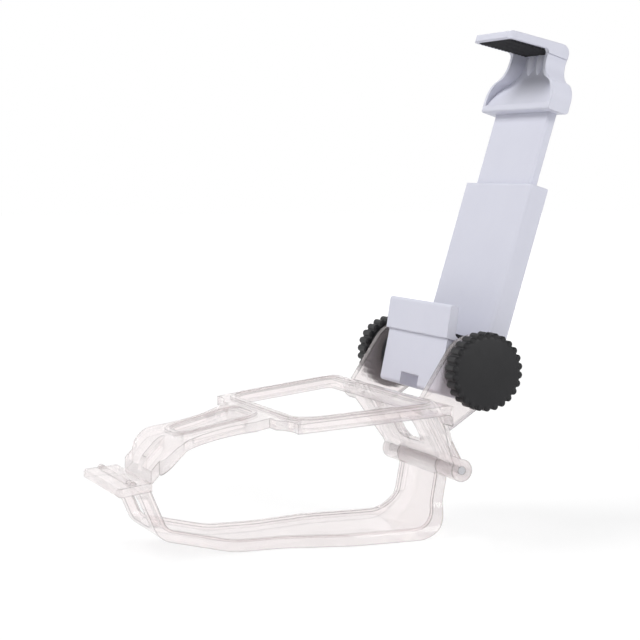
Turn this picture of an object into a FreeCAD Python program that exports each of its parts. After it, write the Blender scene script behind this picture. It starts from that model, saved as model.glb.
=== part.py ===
"""A clip that holds a phone above a game controller, modelled piece by piece.

A clear cradle lies on the controller round its touchpad, and a clear strap hinged
at the back closes under it. Two ears on the cradle carry a phone clamp on one
cross bolt with a toothed knob at each end. The clamp's upper jaw slides out on a
flat plate. Lengths are millimetres. X points right, Y away from the player and Z
up. The origin is the centre of the strap's flat underside.

Most shapes are drawn about the knob axis, which runs along X, and are moved to
their place at the end. The clamp is drawn upright and then leaned back.
"""
import FreeCAD
import Part

import math
import os

Vector = FreeCAD.Vector
ACROSS = Vector(1, 0, 0)
UP = Vector(0, 0, 1)

# Running and seating gaps
RUNNING_GAP = 0.08
SEAT_GAP = 0.05
FACE_GAP = 0.2
SIDE_GAP = 0.3
SNAP_GAP = 0.6
THREAD_GAP = 0.02

# How far a cutting tool runs past what it cuts, and a fused skin into its base
TOOL_MARGIN = 1.0
SKIN_OVERLAP = 0.1
TOOL_LOW = -60.0
TOOL_HIGH = 20.0

# Place and lean of the clamp
CLAMP_LEAN_ANGLE = 17.0
UNDERSIDE_MIDDLE_Y = -35.4

# Cradle plate, drawn as a bent strip seen from the side
PLATE_WALL = 2.4
PLATE_REAR_Y = -12.4
PLATE_REAR_Z = -8.0
PLATE_SLOPE_ANGLE = 5.5
NECK_START_Y = -53.0
NECK_BEND_Y = -75.6
NECK_BEND_DROP = 5.0
NECK_END_ANGLE = 48.0
NECK_START_RADIUS = 30.0
NECK_BEND_RADIUS = 8.0
REAR_BEND_RADIUS = 3.0

# Cradle plate, seen from above as half widths
FRAME_REAR_HALF = 36.0
FRAME_FRONT_HALF = 28.8
FRAME_FRONT_Y = -53.0
FRAME_CORNER = 4.0
REAR_WALL_TOP_HALF = 27.0
NECK_HALF = 14.8
NECK_END_Y = -80.2
NECK_CORNER = 3.4
TONGUE_HALF = 11.0
STICK_X = 26.5
STICK_Y = -66.0
STICK_RADIUS = 15.0

# Windows in the cradle
PAD_REAR_Y = -18.0
PAD_FRONT_Y = -48.2
PAD_REAR_HALF = 29.4
PAD_FRONT_HALF = 24.3
PAD_REAR_CORNER = 1.6
PAD_FRONT_CORNER = 6.0
VEE_TOP_Y = -55.0
VEE_END_Y = -72.0
VEE_TOP_HALF = 7.0
VEE_END_HALF = 4.6
VEE_CORNER = 2.2
KEYHOLE_Y = -77.0
KEYHOLE_LENGTH = 3.6
KEYHOLE_HALF = 1.6
PORT_HALF = 7.0
PORT_LOW = -20.4
PORT_HIGH = -13.8
PORT_CORNER = 2.6
BEAD_HEIGHT = 0.7
BEAD_WIDTH = 1.3
BEAD_MARGIN = 1.0
WALL_RIB_WIDTH = 1.1
WALL_RIB_HEIGHT = 0.6
WALL_RIB_PITCH = 4.2
WALL_RIBS_A_SIDE = 3
WALL_RIB_FIRST = 10.2

# Hinge between cradle and strap
HINGE_Y = -2.8
HINGE_Z = -26.0
KNUCKLE_RADIUS = 2.9
PIN_RADIUS = 1.0
HINGE_HALF = 20.8

# Strap
STRAP_WALL = 2.2
STRAP_HALF = 15.6
STRAP_NARROW_HALF = 11.2
STRAP_WIDE_Y = -30.0
STRAP_TAPER = 18.0
STRAP_SHOULDER_LOW = 1.3
STRAP_SHOULDER_RISE = 6.0
STRAP_TAPER_RADIUS = 12.0
STRAP_SHOULDER_RADIUS = 4.0
STRAP_REAR_Y = -5.8
STRAP_REAR_RADIUS = 8.0
STRAP_FRONT_BEND_Y = -61.0
STRAP_FRONT_BEND_RADIUS = 30.0
STRAP_CURL_Y = -79.6
STRAP_CURL_RISE = 4.3
STRAP_CURL_RADIUS = 5.0
STRAP_FLOOR_Z = -43.3
RIM_HEIGHT = 0.8
RIM_WIDTH = 1.4
LEDGE_REAR_Y = -83.0
LEDGE_FRONT_Y = -92.3
LEDGE_TOP_Z = -24.9
LEDGE_DROP = 0.9
LEDGE_WALL = 2.2
LEDGE_REAR_HALF = 14.5
LEDGE_FRONT_HALF = 15.8
LEDGE_RIB_Y = -87.8
LEDGE_RIB_HALF = 11.0
LEDGE_RIB_RADIUS = 0.9
LEDGE_BUMP_LEFT = 12.4
LEDGE_BUMP_RIGHT = 14.0
LEDGE_REAR_CORNER = 0.6
LEDGE_FRONT_CORNER = 1.6
LEDGE_REAR_EDGE = 0.4
LEDGE_FRONT_EDGE = 0.9
JACK_HALF = 7.6
JACK_LOW = -37.6
JACK_HIGH = -29.6
JACK_CORNER = 2.0

# Ears
RING_WALL = 2.6
EAR_WALL = 2.3
EAR_RADIUS = 8.8
EAR_FRONT_REACH = 3.5
EAR_REAR_DROP = 9.0

# Cross bolt, washers and knobs
BOLT_RADIUS = 2.0
HEX_ACROSS_FLATS = 7.0
HEX_HEAD = 2.8
NUT_HEIGHT = 3.2
WASHER_RADIUS = 4.6
WASHER_WALL = 0.5
KNOB_RADIUS = 10.0
KNOB_TOOTH_DEPTH = 0.9
KNOB_TEETH = 26
KNOB_WALL = 6.0
KNOB_COLLAR_RADIUS = 8.4
KNOB_COLLAR = 1.0
KNOB_EDGE = 0.6
KNOB_VALLEY_SHARE = 0.16
KNOB_TIP_SHARE = 0.4

# Clamp housing, upright about the knob axis
TUBE_HALF = 18.1
TUBE_FRONT = 3.2
TUBE_BACK = 8.8
TUBE_TOP = 50.1
TUBE_EDGE = 1.2
BLOCK_STEP = 0.7
BLOCK_BOTTOM = -8.4
BLOCK_FRONT_LOW = -6.1
BLOCK_FRONT_HIGH = -7.4
BLOCK_BACK_CORNER = 4.2
CREASE_Z = 5.6
LIP_FOOT_Y = -8.1
LIP_TOP_Y = -9.4
LIP_TOP_Z = 14.2
LIP_WALL = 2.2
SHELF_Z = 6.5
SHELF_CORNER = 1.2
BLOCK_FRONT_EDGE = 1.0
LIP_FOOT_EDGE = 0.3
LIP_TOP_EDGE = 0.8
TUBE_TOP_EDGE = 0.5
TUBE_BACK_EDGE = 0.8
NOTCH_LEFT = -5.2
NOTCH_RIGHT = 5.2
NOTCH_HEIGHT = 3.2
CATCH_LEFT = 2.0
CATCH_DEPTH = 11.0
CATCH_WALL = 1.6
CATCH_INSET = 0.2
FRONT_WALL = 1.2
GUIDE_WALL = 3.2
COVER_WALL = 1.4
COVER_SIDE_MARGIN = 1.7
COVER_TOP_MARGIN = 1.5
COVER_BOTTOM = -4.6
COVER_CORNER = 2.0

# Slider and its leaf spring
SLIDER_WALL = 2.2
SLIDER_EDGE = 0.6
SLIDER_FOOT = 24.0
SLIDER_TOP = 75.0
SLIDE_IN = 19.0
SLIDE_OUT = 9.0
STOP_HEIGHT = 2.0
STOP_OVERHANG = 0.5
SPRING_WALL = 0.25
SPRING_HALF = 4.0
SPRING_LOW = 36.0
SPRING_HIGH = 47.0
SPRING_BOW_RADIUS = 60.0

# Upper jaw, upright with the housing
JAW_BOTTOM = 69.9
JAW_BASE_HALF = 18.2
JAW_BASE_TOP = 73.0
JAW_WAIST_HALF = 10.0
JAW_WAIST_Z = 84.0
JAW_FRONT = 2.0
JAW_BACK = 8.0
JAW_RIM = 1.3
JAW_FRONT_EDGE = 0.6
JAW_BACK_EDGE = 1.0
JAW_SCOOP = 4.2
JAW_SCOOP_FOOT = 71.8
JAW_SCOOP_LIP = 0.4
JAW_SCOOP_DEEP_Z = 81.0
JAW_SCOOP_RADIUS = 14.0
HOOK_UNDERSIDE = 85.3
HOOK_RISE_ANGLE = 5.0
HOOK_FRONT_Y = -10.3
HOOK_FRONT_WALL = 2.2
HOOK_SIDE_MARGIN = 0.3
HOOK_CORNER = 2.2
HOOK_THROAT_EDGE = 1.0
HOOK_TIP_LOW_EDGE = 0.4
HOOK_TIP_HIGH_EDGE = 1.0
HOOK_BACK_EDGE = 2.4
HOOK_RIM = 1.1
FLUTE_RADIUS = 0.8
FLUTE_SINK = 0.2
FLUTE_PITCH = 4.8
FLUTES = 4
FLUTE_LENGTH = 6.0
FLUTE_LEAN_ANGLE = 14.0

# Pads and friction rings
PAD_WALL = 1.2
PAD_RIB = 0.4
PAD_RIBS = 4
JAW_PAD_RIBS = 6
PAD_SIDE_MARGIN = 1.5
RING_RADIUS = 6.8

# Small screws
SCREW_RADIUS = 1.0
SCREW_HEAD_RADIUS = 1.9
SCREW_HEAD = 1.0
SCREW_LENGTH = 4.2
SCREW_EDGE = 0.3
SCREW_RECESS_SHARE = 0.62
COVER_SCREW_MARGIN = 3.2
COVER_SCREW_Z = -1.2
JAW_SCREW_X = 8.5
JAW_SCREW_Z = 72.6
JAW_SCREW_LENGTH = 3.0
SCREW_SLOT = 0.5

# Sizes that follow from the ones above
BLOCK_HALF = TUBE_HALF - BLOCK_STEP
EAR_INNER = BLOCK_HALF + RING_WALL + FACE_GAP
SLIDER_HALF = TUBE_HALF - GUIDE_WALL - FACE_GAP
STOP_HALF = SLIDER_HALF + STOP_OVERHANG
COVER_HALF = TUBE_HALF - COVER_SIDE_MARGIN
COVER_TOP = TUBE_TOP - COVER_TOP_MARGIN
COVER_SCREW_X = COVER_HALF - COVER_SCREW_MARGIN
COVER_FRONT = TUBE_BACK - COVER_WALL
CAVITY_FRONT = TUBE_FRONT + FRONT_WALL
CAVITY_FOOT = SLIDER_FOOT - STOP_HEIGHT - SLIDE_IN - SIDE_GAP
GUIDE_FOOT = SLIDER_FOOT + SLIDE_OUT + SIDE_GAP
SLIDER_FRONT = CAVITY_FRONT + FACE_GAP
SLIDER_BACK = SLIDER_FRONT + SLIDER_WALL
HOOK_FRONT_TOP = HOOK_UNDERSIDE + HOOK_FRONT_WALL
HOOK_TOP = HOOK_FRONT_TOP + (JAW_BACK - HOOK_FRONT_Y) * math.tan(math.radians(HOOK_RISE_ANGLE))
SCOOP_BACK = JAW_FRONT + JAW_SCOOP
KNOB_INNER = EAR_INNER + EAR_WALL + WASHER_WALL + FACE_GAP
KNOB_OUTER = KNOB_INNER + KNOB_WALL
HEX_INNER = KNOB_INNER + KNOB_COLLAR
BOLT_END = HEX_INNER + NUT_HEIGHT + SEAT_GAP


# Plane outlines

def side(y, z):
    """A point of an outline seen from the side."""
    return Vector(0, y, z)


def above(x, y):
    """A point of an outline seen from above."""
    return Vector(x, y, 0)


def front(x, z):
    """A point of an outline seen from the front."""
    return Vector(x, 0, z)


def rounded_outline(points, radii):
    """A flat face whose corners are rounded by the radii given one for each point."""
    count = len(points)
    starts = []
    ends = []
    middles = []
    for i in range(count):
        point = points[i]
        arrive = (point - points[i - 1]).normalize()
        leave = (points[(i + 1) % count] - point).normalize()
        half_turn = arrive.getAngle(leave) / 2
        if radii[i] <= 0 or half_turn < 1e-6:
            starts.append(point)
            ends.append(point)
            middles.append(None)
            continue
        reach = radii[i] * math.tan(half_turn)
        starts.append(point - arrive * reach)
        ends.append(point + leave * reach)
        inward = (leave - arrive).normalize()
        middles.append(point + inward * (radii[i] / math.cos(half_turn) - radii[i]))
    edges = []
    for i in range(count):
        if middles[i] is not None:
            edges.append(Part.Arc(starts[i], middles[i], ends[i]).toShape())
        after = starts[(i + 1) % count]
        if (after - ends[i]).Length > 1e-6:
            edges.append(Part.LineSegment(ends[i], after).toShape())
    return Part.Face(Part.Wire(edges))


def offset_path(path, radii, distance):
    """A path drawn beside another at a distance to its left, with its corner radii."""
    points = []
    corner_radii = []
    for i, point in enumerate(path):
        arrive = (point - path[i - 1]).normalize() if i > 0 else None
        leave = (path[i + 1] - point).normalize() if i + 1 < len(path) else None
        left_before = ACROSS.cross(arrive) if arrive else ACROSS.cross(leave)
        left_after = ACROSS.cross(leave) if leave else left_before
        normal = (left_before + left_after).normalize()
        points.append(point + normal * (distance / normal.dot(left_before)))
        radius = 0
        if arrive and leave:
            turns_left = arrive.cross(leave).dot(ACROSS) > 0
            radius = radii[i] - distance if turns_left else radii[i] + distance
        corner_radii.append(max(radius, 0))
    return points, corner_radii


def bent_strip(path, radii, inner, outer, left, right):
    """A strip that follows a side view path, between two offsets and two widths."""
    outer_points, outer_radii = offset_path(path, radii, outer)
    inner_points, inner_radii = offset_path(path, radii, inner)
    points = outer_points + inner_points[::-1]
    face = rounded_outline(points, outer_radii + inner_radii[::-1])
    face.translate(ACROSS * left)
    return face.extrude(ACROSS * (right - left))


def block(left, right, near, far, low, high):
    """A box between two planes along each axis."""
    return Part.makeBox(right - left, far - near, high - low, Vector(left, near, low))


def rod(radius, left, right, y=0.0, z=0.0):
    """A round bar along X."""
    return Part.makeCylinder(radius, right - left, Vector(left, y, z), ACROSS)


def hexagon(across_flats, left, right):
    """A hexagonal bar along X on the knob axis."""
    corner = across_flats / math.sqrt(3)
    turns = [math.radians(60 * i) for i in range(6)]
    points = [Vector(left, corner * math.cos(t), corner * math.sin(t)) for t in turns]
    return Part.Face(Part.makePolygon(points + points[:1])).extrude(ACROSS * (right - left))


def mirrored(shape):
    """The same shape on the other side of the middle plane."""
    return shape.mirror(Vector(0, 0, 0), ACROSS)


def both_sides(points):
    """A closed outline from its right half, listed from the back to the front."""
    return points + [Vector(-p.x, p.y, p.z) for p in points[::-1]]


def joined(shapes):
    """One clean solid from shapes that touch or overlap."""
    return shapes[0].multiFuse(shapes[1:]).removeSplitter()


def cut_by(shape, tools):
    """A shape with all the tools taken out of it."""
    return shape.cut(tools).removeSplitter()


# Side view paths of the cradle and the strap, about the knob axis

def plate_path():
    """The middle of the cradle plate, from its front end to the hinge."""
    fall = math.tan(math.radians(PLATE_SLOPE_ANGLE))
    neck_start = side(NECK_START_Y, PLATE_REAR_Z + (NECK_START_Y - PLATE_REAR_Y) * fall)
    bend = side(NECK_BEND_Y, neck_start.z - NECK_BEND_DROP)
    run = LEDGE_FRONT_Y - NECK_BEND_Y
    steep = math.tan(math.radians(NECK_END_ANGLE))
    end = side(LEDGE_FRONT_Y, bend.z + run * steep)
    rear = side(PLATE_REAR_Y, PLATE_REAR_Z)
    hinge = side(HINGE_Y, HINGE_Z)
    path = [end, bend, neck_start, rear, hinge]
    return path, [0, NECK_BEND_RADIUS, NECK_START_RADIUS, REAR_BEND_RADIUS, 0]


def strap_path():
    """The middle of the strap, from the hinge to the ledge."""
    curl = side(STRAP_CURL_Y, STRAP_FLOOR_Z + STRAP_CURL_RISE)
    top = side(LEDGE_REAR_Y - STRAP_WALL, LEDGE_TOP_Z - LEDGE_WALL / 2)
    path = [
        side(HINGE_Y, HINGE_Z),
        side(STRAP_REAR_Y, STRAP_FLOOR_Z),
        side(STRAP_FRONT_BEND_Y, STRAP_FLOOR_Z),
        curl,
        top,
    ]
    return path, [0, STRAP_REAR_RADIUS, STRAP_FRONT_BEND_RADIUS, STRAP_CURL_RADIUS, 0]


# Cradle

def plate_outline():
    """The cradle plate seen from above, tall enough to trim the bent strip."""
    rear_edge = PLATE_REAR_Y + PLATE_WALL / 2
    half = [
        above(HINGE_HALF, HINGE_Y + 2 * KNUCKLE_RADIUS),
        above(HINGE_HALF, HINGE_Y - KNUCKLE_RADIUS),
        above(REAR_WALL_TOP_HALF, rear_edge),
        above(FRAME_REAR_HALF, rear_edge),
        above(FRAME_FRONT_HALF, FRAME_FRONT_Y),
        above(NECK_HALF, FRAME_FRONT_Y),
        above(NECK_HALF, NECK_END_Y),
        above(TONGUE_HALF, NECK_END_Y),
        above(TONGUE_HALF, LEDGE_REAR_Y + SNAP_GAP),
    ]
    radii = [0, 0, 0, FRAME_CORNER, FRAME_CORNER, 0, NECK_CORNER, 0, 0]
    outline = upright_prism(half, radii)
    stick = Part.makeCylinder(STICK_RADIUS, TOOL_HIGH - TOOL_LOW, Vector(STICK_X, STICK_Y, TOOL_LOW))
    return outline.cut([stick, mirrored(stick)])


def upright_prism(half, radii, margin=0.0):
    """A tall prism from the right half of an outline, grown by a margin on every side."""
    face = rounded_outline(both_sides(half), radii + radii[::-1])
    if margin:
        face = Part.Face(face.OuterWire.makeOffset2D(margin))
    face.translate(UP * TOOL_LOW)
    return face.extrude(UP * (TOOL_HIGH - TOOL_LOW))


def touchpad_window(margin=0.0):
    """The opening over the touchpad."""
    half = [above(PAD_REAR_HALF, PAD_REAR_Y), above(PAD_FRONT_HALF, PAD_FRONT_Y)]
    return upright_prism(half, [PAD_REAR_CORNER, PAD_FRONT_CORNER], margin)


def vee_window(margin=0.0):
    """The tapering opening in the neck."""
    half = [above(VEE_TOP_HALF, VEE_TOP_Y), above(VEE_END_HALF, VEE_END_Y)]
    return upright_prism(half, [VEE_CORNER, VEE_CORNER], margin)


def keyhole():
    """The small slot near the end of the neck, round at its upper end."""
    low_end = KEYHOLE_Y - KEYHOLE_LENGTH
    slot = block(-KEYHOLE_HALF, KEYHOLE_HALF, low_end, KEYHOLE_Y, TOOL_LOW, TOOL_HIGH)
    return slot.fuse(Part.makeCylinder(KEYHOLE_HALF, TOOL_HIGH - TOOL_LOW, Vector(0, KEYHOLE_Y, TOOL_LOW)))


def wall_window(half, low, high, corner, near, far):
    """A rounded window cut from front to back through a standing wall."""
    points = [front(half, low), front(half, high), front(-half, high), front(-half, low)]
    face = rounded_outline(points, [corner] * 4)
    face.translate(Vector(0, near, 0))
    return face.extrude(Vector(0, far - near, 0))


def window_beads(path, radii):
    """The raised beads that run round the two windows of the plate."""
    top = PLATE_WALL / 2
    low = top - SKIN_OVERLAP
    skin = bent_strip(path, radii, low, top + BEAD_HEIGHT, -FRAME_REAR_HALF, FRAME_REAR_HALF)
    beads = []
    for window in (touchpad_window, vee_window):
        outer = window(BEAD_MARGIN + BEAD_WIDTH)
        beads.append(skin.common(outer.cut(window(BEAD_MARGIN))))
    return beads


def wall_ribs(path, radii):
    """The upright ribs on the back of the rear wall, beside the port window."""
    top = PLATE_WALL / 2
    ribs = []
    for i in range(WALL_RIBS_A_SIDE):
        centre = WALL_RIB_FIRST + i * WALL_RIB_PITCH
        rib = bent_strip(
            path[-2:], radii[-2:], top - SKIN_OVERLAP, top + WALL_RIB_HEIGHT,
            centre - WALL_RIB_WIDTH / 2, centre + WALL_RIB_WIDTH / 2,
        )
        low = HINGE_Z + KNUCKLE_RADIUS
        high = PLATE_REAR_Z - PLATE_WALL
        rib = rib.common(block(0, FRAME_REAR_HALF, PAD_REAR_Y, TOOL_HIGH, low, high))
        ribs += [rib, mirrored(rib)]
    return ribs


def tangent_point(point, radius, turn):
    """Where a line from a point touches a circle about the knob axis."""
    distance = math.hypot(point.y, point.z)
    angle = math.atan2(point.z, point.y) + turn * math.acos(radius / distance)
    return side(radius * math.cos(angle), radius * math.sin(angle))


def ear(path):
    """One ear: a rounded cheek about the bolt that stands on the plate's rear corner."""
    corner = path[-2]
    ahead = (path[-3] - corner).normalize()
    below = (path[-1] - corner).normalize()
    front_foot = corner + ahead * EAR_FRONT_REACH
    rear_foot = corner + below * EAR_REAR_DROP
    front_touch = tangent_point(front_foot, EAR_RADIUS, -1)
    rear_touch = tangent_point(rear_foot, EAR_RADIUS, 1)
    crown = (front_touch + rear_touch).normalize() * -EAR_RADIUS
    if crown.z < 0:
        crown = crown * -1
    edges = [
        Part.LineSegment(corner, front_foot).toShape(),
        Part.LineSegment(front_foot, front_touch).toShape(),
        Part.Arc(front_touch, crown, rear_touch).toShape(),
        Part.LineSegment(rear_touch, rear_foot).toShape(),
        Part.LineSegment(rear_foot, corner).toShape(),
    ]
    face = Part.Face(Part.Wire(edges))
    face.translate(ACROSS * EAR_INNER)
    return face.extrude(ACROSS * EAR_WALL)


def cradle_frame():
    """The clear cradle: plate, neck, rear wall, ears and outer hinge knuckles."""
    path, radii = plate_path()
    half_wall = PLATE_WALL / 2
    strip = bent_strip(path, radii, -half_wall, half_wall, -FRAME_REAR_HALF, FRAME_REAR_HALF)
    plate = strip.common(plate_outline())
    inner_end = STRAP_NARROW_HALF + SIDE_GAP
    knuckle = rod(KNUCKLE_RADIUS, inner_end, HINGE_HALF, HINGE_Y, HINGE_Z)
    cheek = ear(path)
    solid = joined(
        [plate, knuckle, mirrored(knuckle), cheek, mirrored(cheek)]
        + window_beads(path, radii) + wall_ribs(path, radii)
    )
    swing_room = rod(KNUCKLE_RADIUS + SIDE_GAP, -inner_end, inner_end, HINGE_Y, HINGE_Z)
    reach = EAR_INNER + 2 * EAR_WALL
    return cut_by(solid, [
        touchpad_window(),
        vee_window(),
        keyhole(),
        wall_window(PORT_HALF, PORT_LOW, PORT_HIGH, PORT_CORNER, PAD_REAR_Y, TOOL_HIGH),
        swing_room,
        rod(PIN_RADIUS + SEAT_GAP / 2, -HINGE_HALF, HINGE_HALF, HINGE_Y, HINGE_Z),
        rod(BOLT_RADIUS + RUNNING_GAP, -reach, reach),
    ])


def hinge_pin():
    """The steel pin of the strap's hinge."""
    return rod(PIN_RADIUS, -HINGE_HALF, HINGE_HALF, HINGE_Y, HINGE_Z)


# Strap

def ledge():
    """The finger ledge at the strap's front end, with its grip rib and end bumps."""
    half = [above(LEDGE_REAR_HALF, LEDGE_REAR_Y), above(LEDGE_FRONT_HALF, LEDGE_FRONT_Y)]
    outline = upright_prism(half, [LEDGE_REAR_CORNER, LEDGE_FRONT_CORNER])
    front_top = LEDGE_TOP_Z - LEDGE_DROP
    points = [
        side(LEDGE_REAR_Y, LEDGE_TOP_Z),
        side(LEDGE_FRONT_Y, front_top),
        side(LEDGE_FRONT_Y, front_top - LEDGE_WALL),
        side(LEDGE_REAR_Y, LEDGE_TOP_Z - LEDGE_WALL),
    ]
    radii = [LEDGE_REAR_EDGE, LEDGE_FRONT_EDGE, LEDGE_FRONT_EDGE, LEDGE_REAR_EDGE]
    face = rounded_outline(points, radii)
    face.translate(ACROSS * -LEDGE_FRONT_HALF)
    plate = face.extrude(ACROSS * 2 * LEDGE_FRONT_HALF).common(outline)
    share = (LEDGE_RIB_Y - LEDGE_REAR_Y) / (LEDGE_FRONT_Y - LEDGE_REAR_Y)
    rib_z = LEDGE_TOP_Z - LEDGE_DROP * share
    rib = rod(LEDGE_RIB_RADIUS, -LEDGE_RIB_HALF, LEDGE_RIB_HALF, LEDGE_RIB_Y, rib_z)
    bump = rod(LEDGE_RIB_RADIUS, LEDGE_BUMP_LEFT, LEDGE_BUMP_RIGHT, LEDGE_RIB_Y, rib_z)
    return [plate, rib, bump, mirrored(bump)]


def strap_outline(inset):
    """The strap's edges as a prism: wide under the controller, narrow at the hinge and in front."""
    wide = STRAP_HALF - inset
    narrow = STRAP_NARROW_HALF - inset
    plan = upright_prism([
        above(wide, HINGE_Y + 2 * KNUCKLE_RADIUS),
        above(wide, STRAP_WIDE_Y),
        above(narrow, STRAP_WIDE_Y - STRAP_TAPER),
        above(narrow, LEDGE_FRONT_Y),
    ], [0, STRAP_TAPER_RADIUS, STRAP_TAPER_RADIUS, 0])
    shoulder = STRAP_FLOOR_Z + STRAP_SHOULDER_LOW
    right = [
        front(wide, STRAP_FLOOR_Z - STRAP_WALL),
        front(wide, shoulder),
        front(narrow, shoulder + STRAP_SHOULDER_RISE),
        front(narrow, HINGE_Z + 2 * KNUCKLE_RADIUS),
    ]
    corner = STRAP_SHOULDER_RADIUS
    rear_view = rounded_outline(both_sides(right), [0, corner, corner, 0, 0, corner, corner, 0])
    rear_view.translate(Vector(0, LEDGE_FRONT_Y, 0))
    return plan.common(rear_view.extrude(Vector(0, HINGE_Y + 2 * KNUCKLE_RADIUS - LEDGE_FRONT_Y, 0)))


def strap():
    """The clear strap that closes under the controller."""
    path, radii = strap_path()
    half_wall = STRAP_WALL / 2
    outline = strap_outline(0)
    body = bent_strip(path, radii, -half_wall, half_wall, -STRAP_HALF, STRAP_HALF).common(outline)
    knuckle = rod(KNUCKLE_RADIUS, -STRAP_NARROW_HALF, STRAP_NARROW_HALF, HINGE_Y, HINGE_Z)
    rim_top = -half_wall - RIM_HEIGHT
    skin = bent_strip(path, radii, rim_top, SKIN_OVERLAP - half_wall, -STRAP_HALF, STRAP_HALF)
    rims = skin.common(outline.cut(strap_outline(RIM_WIDTH)))
    solid = joined([body, knuckle, rims] + ledge())
    return cut_by(solid, [
        rod(PIN_RADIUS + RUNNING_GAP, -HINGE_HALF, HINGE_HALF, HINGE_Y, HINGE_Z),
        wall_window(JACK_HALF, JACK_LOW, JACK_HIGH, JACK_CORNER, LEDGE_FRONT_Y, STRAP_FRONT_BEND_Y),
    ])


# Knobs and bolt, drawn on the right and mirrored for the left

def washer():
    """A steel washer that lies on the ear under the right knob."""
    inner = EAR_INNER + EAR_WALL
    ring = rod(WASHER_RADIUS, inner, inner + WASHER_WALL)
    return ring.cut(rod(BOLT_RADIUS + RUNNING_GAP, inner, inner + WASHER_WALL))


def toothed_ring(x, shrink):
    """A closed outline of the knob's teeth at one height, drawn in by a shrink."""
    tip = KNOB_RADIUS - shrink
    valley = tip - KNOB_TOOTH_DEPTH
    marks = [
        (valley, KNOB_VALLEY_SHARE),
        (tip, KNOB_TIP_SHARE),
        (tip, 1 - KNOB_TIP_SHARE),
        (valley, 1 - KNOB_VALLEY_SHARE),
    ]
    points = []
    for tooth in range(KNOB_TEETH):
        for radius, share in marks:
            angle = 2 * math.pi * (tooth + share) / KNOB_TEETH
            points.append(Vector(x, radius * math.cos(angle), radius * math.sin(angle)))
    return Part.makePolygon(points + points[:1])


def knob_body(hex_depth):
    """A toothed knob with a hexagon pocket open towards the clamp."""
    inner = KNOB_INNER + KNOB_COLLAR
    shoulder = KNOB_OUTER - KNOB_EDGE
    teeth = Part.Face(toothed_ring(inner, 0)).extrude(ACROSS * (shoulder - inner))
    edge = Part.makeLoft([toothed_ring(shoulder, 0), toothed_ring(KNOB_OUTER, KNOB_EDGE)], True, True)
    collar = rod(KNOB_COLLAR_RADIUS, KNOB_INNER, inner + SKIN_OVERLAP)
    pocket = hexagon(HEX_ACROSS_FLATS + 2 * SEAT_GAP, KNOB_INNER, HEX_INNER + hex_depth)
    return joined([teeth, edge, collar]).cut(pocket)


def knob_right():
    """The right knob, which turns the nut."""
    tip = rod(BOLT_RADIUS + RUNNING_GAP, KNOB_INNER, BOLT_END + SEAT_GAP)
    return knob_body(NUT_HEIGHT).cut(tip)


def knob_left():
    """The left knob, which holds the bolt's head."""
    return mirrored(knob_body(HEX_HEAD))


def cross_bolt():
    """The hexagon bolt through both ears and the clamp, its head in the left knob."""
    head = hexagon(HEX_ACROSS_FLATS, -HEX_INNER - HEX_HEAD, -HEX_INNER)
    return joined([head, rod(BOLT_RADIUS, -HEX_INNER, BOLT_END)])


def knob_nut():
    """The steel nut seated in the right knob."""
    nut = hexagon(HEX_ACROSS_FLATS, HEX_INNER, HEX_INNER + NUT_HEIGHT)
    return nut.cut(rod(BOLT_RADIUS + SEAT_GAP, HEX_INNER, HEX_INNER + NUT_HEIGHT))


def friction_ring():
    """The dark ring between the clamp's side and the right ear."""
    right = EAR_INNER - FACE_GAP
    ring = rod(RING_RADIUS, BLOCK_HALF, right)
    return ring.cut(rod(BOLT_RADIUS + RUNNING_GAP, BLOCK_HALF, right))


# Clamp housing

def housing_section():
    """The housing seen from the side: block, lip, shelf and tube."""
    points = [
        side(BLOCK_FRONT_LOW, BLOCK_BOTTOM),
        side(BLOCK_FRONT_HIGH, CREASE_Z),
        side(LIP_FOOT_Y, CREASE_Z),
        side(LIP_TOP_Y, LIP_TOP_Z),
        side(LIP_TOP_Y + LIP_WALL, LIP_TOP_Z),
        side(LIP_FOOT_Y + LIP_WALL, SHELF_Z),
        side(TUBE_FRONT, SHELF_Z),
        side(TUBE_FRONT, TUBE_TOP),
        side(TUBE_BACK, TUBE_TOP),
        side(TUBE_BACK, BLOCK_BOTTOM),
    ]
    radii = [
        BLOCK_FRONT_EDGE, 0, LIP_FOOT_EDGE, LIP_TOP_EDGE, LIP_TOP_EDGE,
        SHELF_CORNER, SHELF_CORNER, TUBE_TOP_EDGE, TUBE_BACK_EDGE, BLOCK_BACK_CORNER,
    ]
    return rounded_outline(points, radii)


def screw_hole(x, z, depth):
    """A stepped hole from the back for a small pan head screw."""
    back = Vector(0, -1, 0)
    shank = Part.makeCylinder(SCREW_RADIUS + THREAD_GAP, depth, Vector(x, TUBE_BACK, z), back)
    seat = Part.makeCylinder(SCREW_HEAD_RADIUS + SEAT_GAP, SCREW_HEAD, Vector(x, TUBE_BACK, z), back)
    return shank.fuse(seat)


def screw(x, z, back_y, length):
    """A small pan head screw driven in from the back, with a cross recess."""
    inward = Vector(0, -1, 0)
    head = Part.makeCylinder(SCREW_HEAD_RADIUS, SCREW_HEAD, Vector(x, back_y, z), inward)
    rim = max(head.Edges, key=lambda edge: edge.CenterOfMass.y)
    head = head.makeChamfer(SCREW_EDGE, [rim])
    shank = Part.makeCylinder(SCREW_RADIUS, length, Vector(x, back_y, z), inward)
    reach = SCREW_HEAD_RADIUS * SCREW_RECESS_SHARE
    half = SCREW_SLOT / 2
    depth = back_y - SCREW_SLOT
    far = back_y + TOOL_MARGIN
    across = block(x - reach, x + reach, depth, far, z - half, z + half)
    upright = block(x - half, x + half, depth, far, z - reach, z + reach)
    return head.fuse(shank).cut([across, upright]).removeSplitter()


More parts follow.
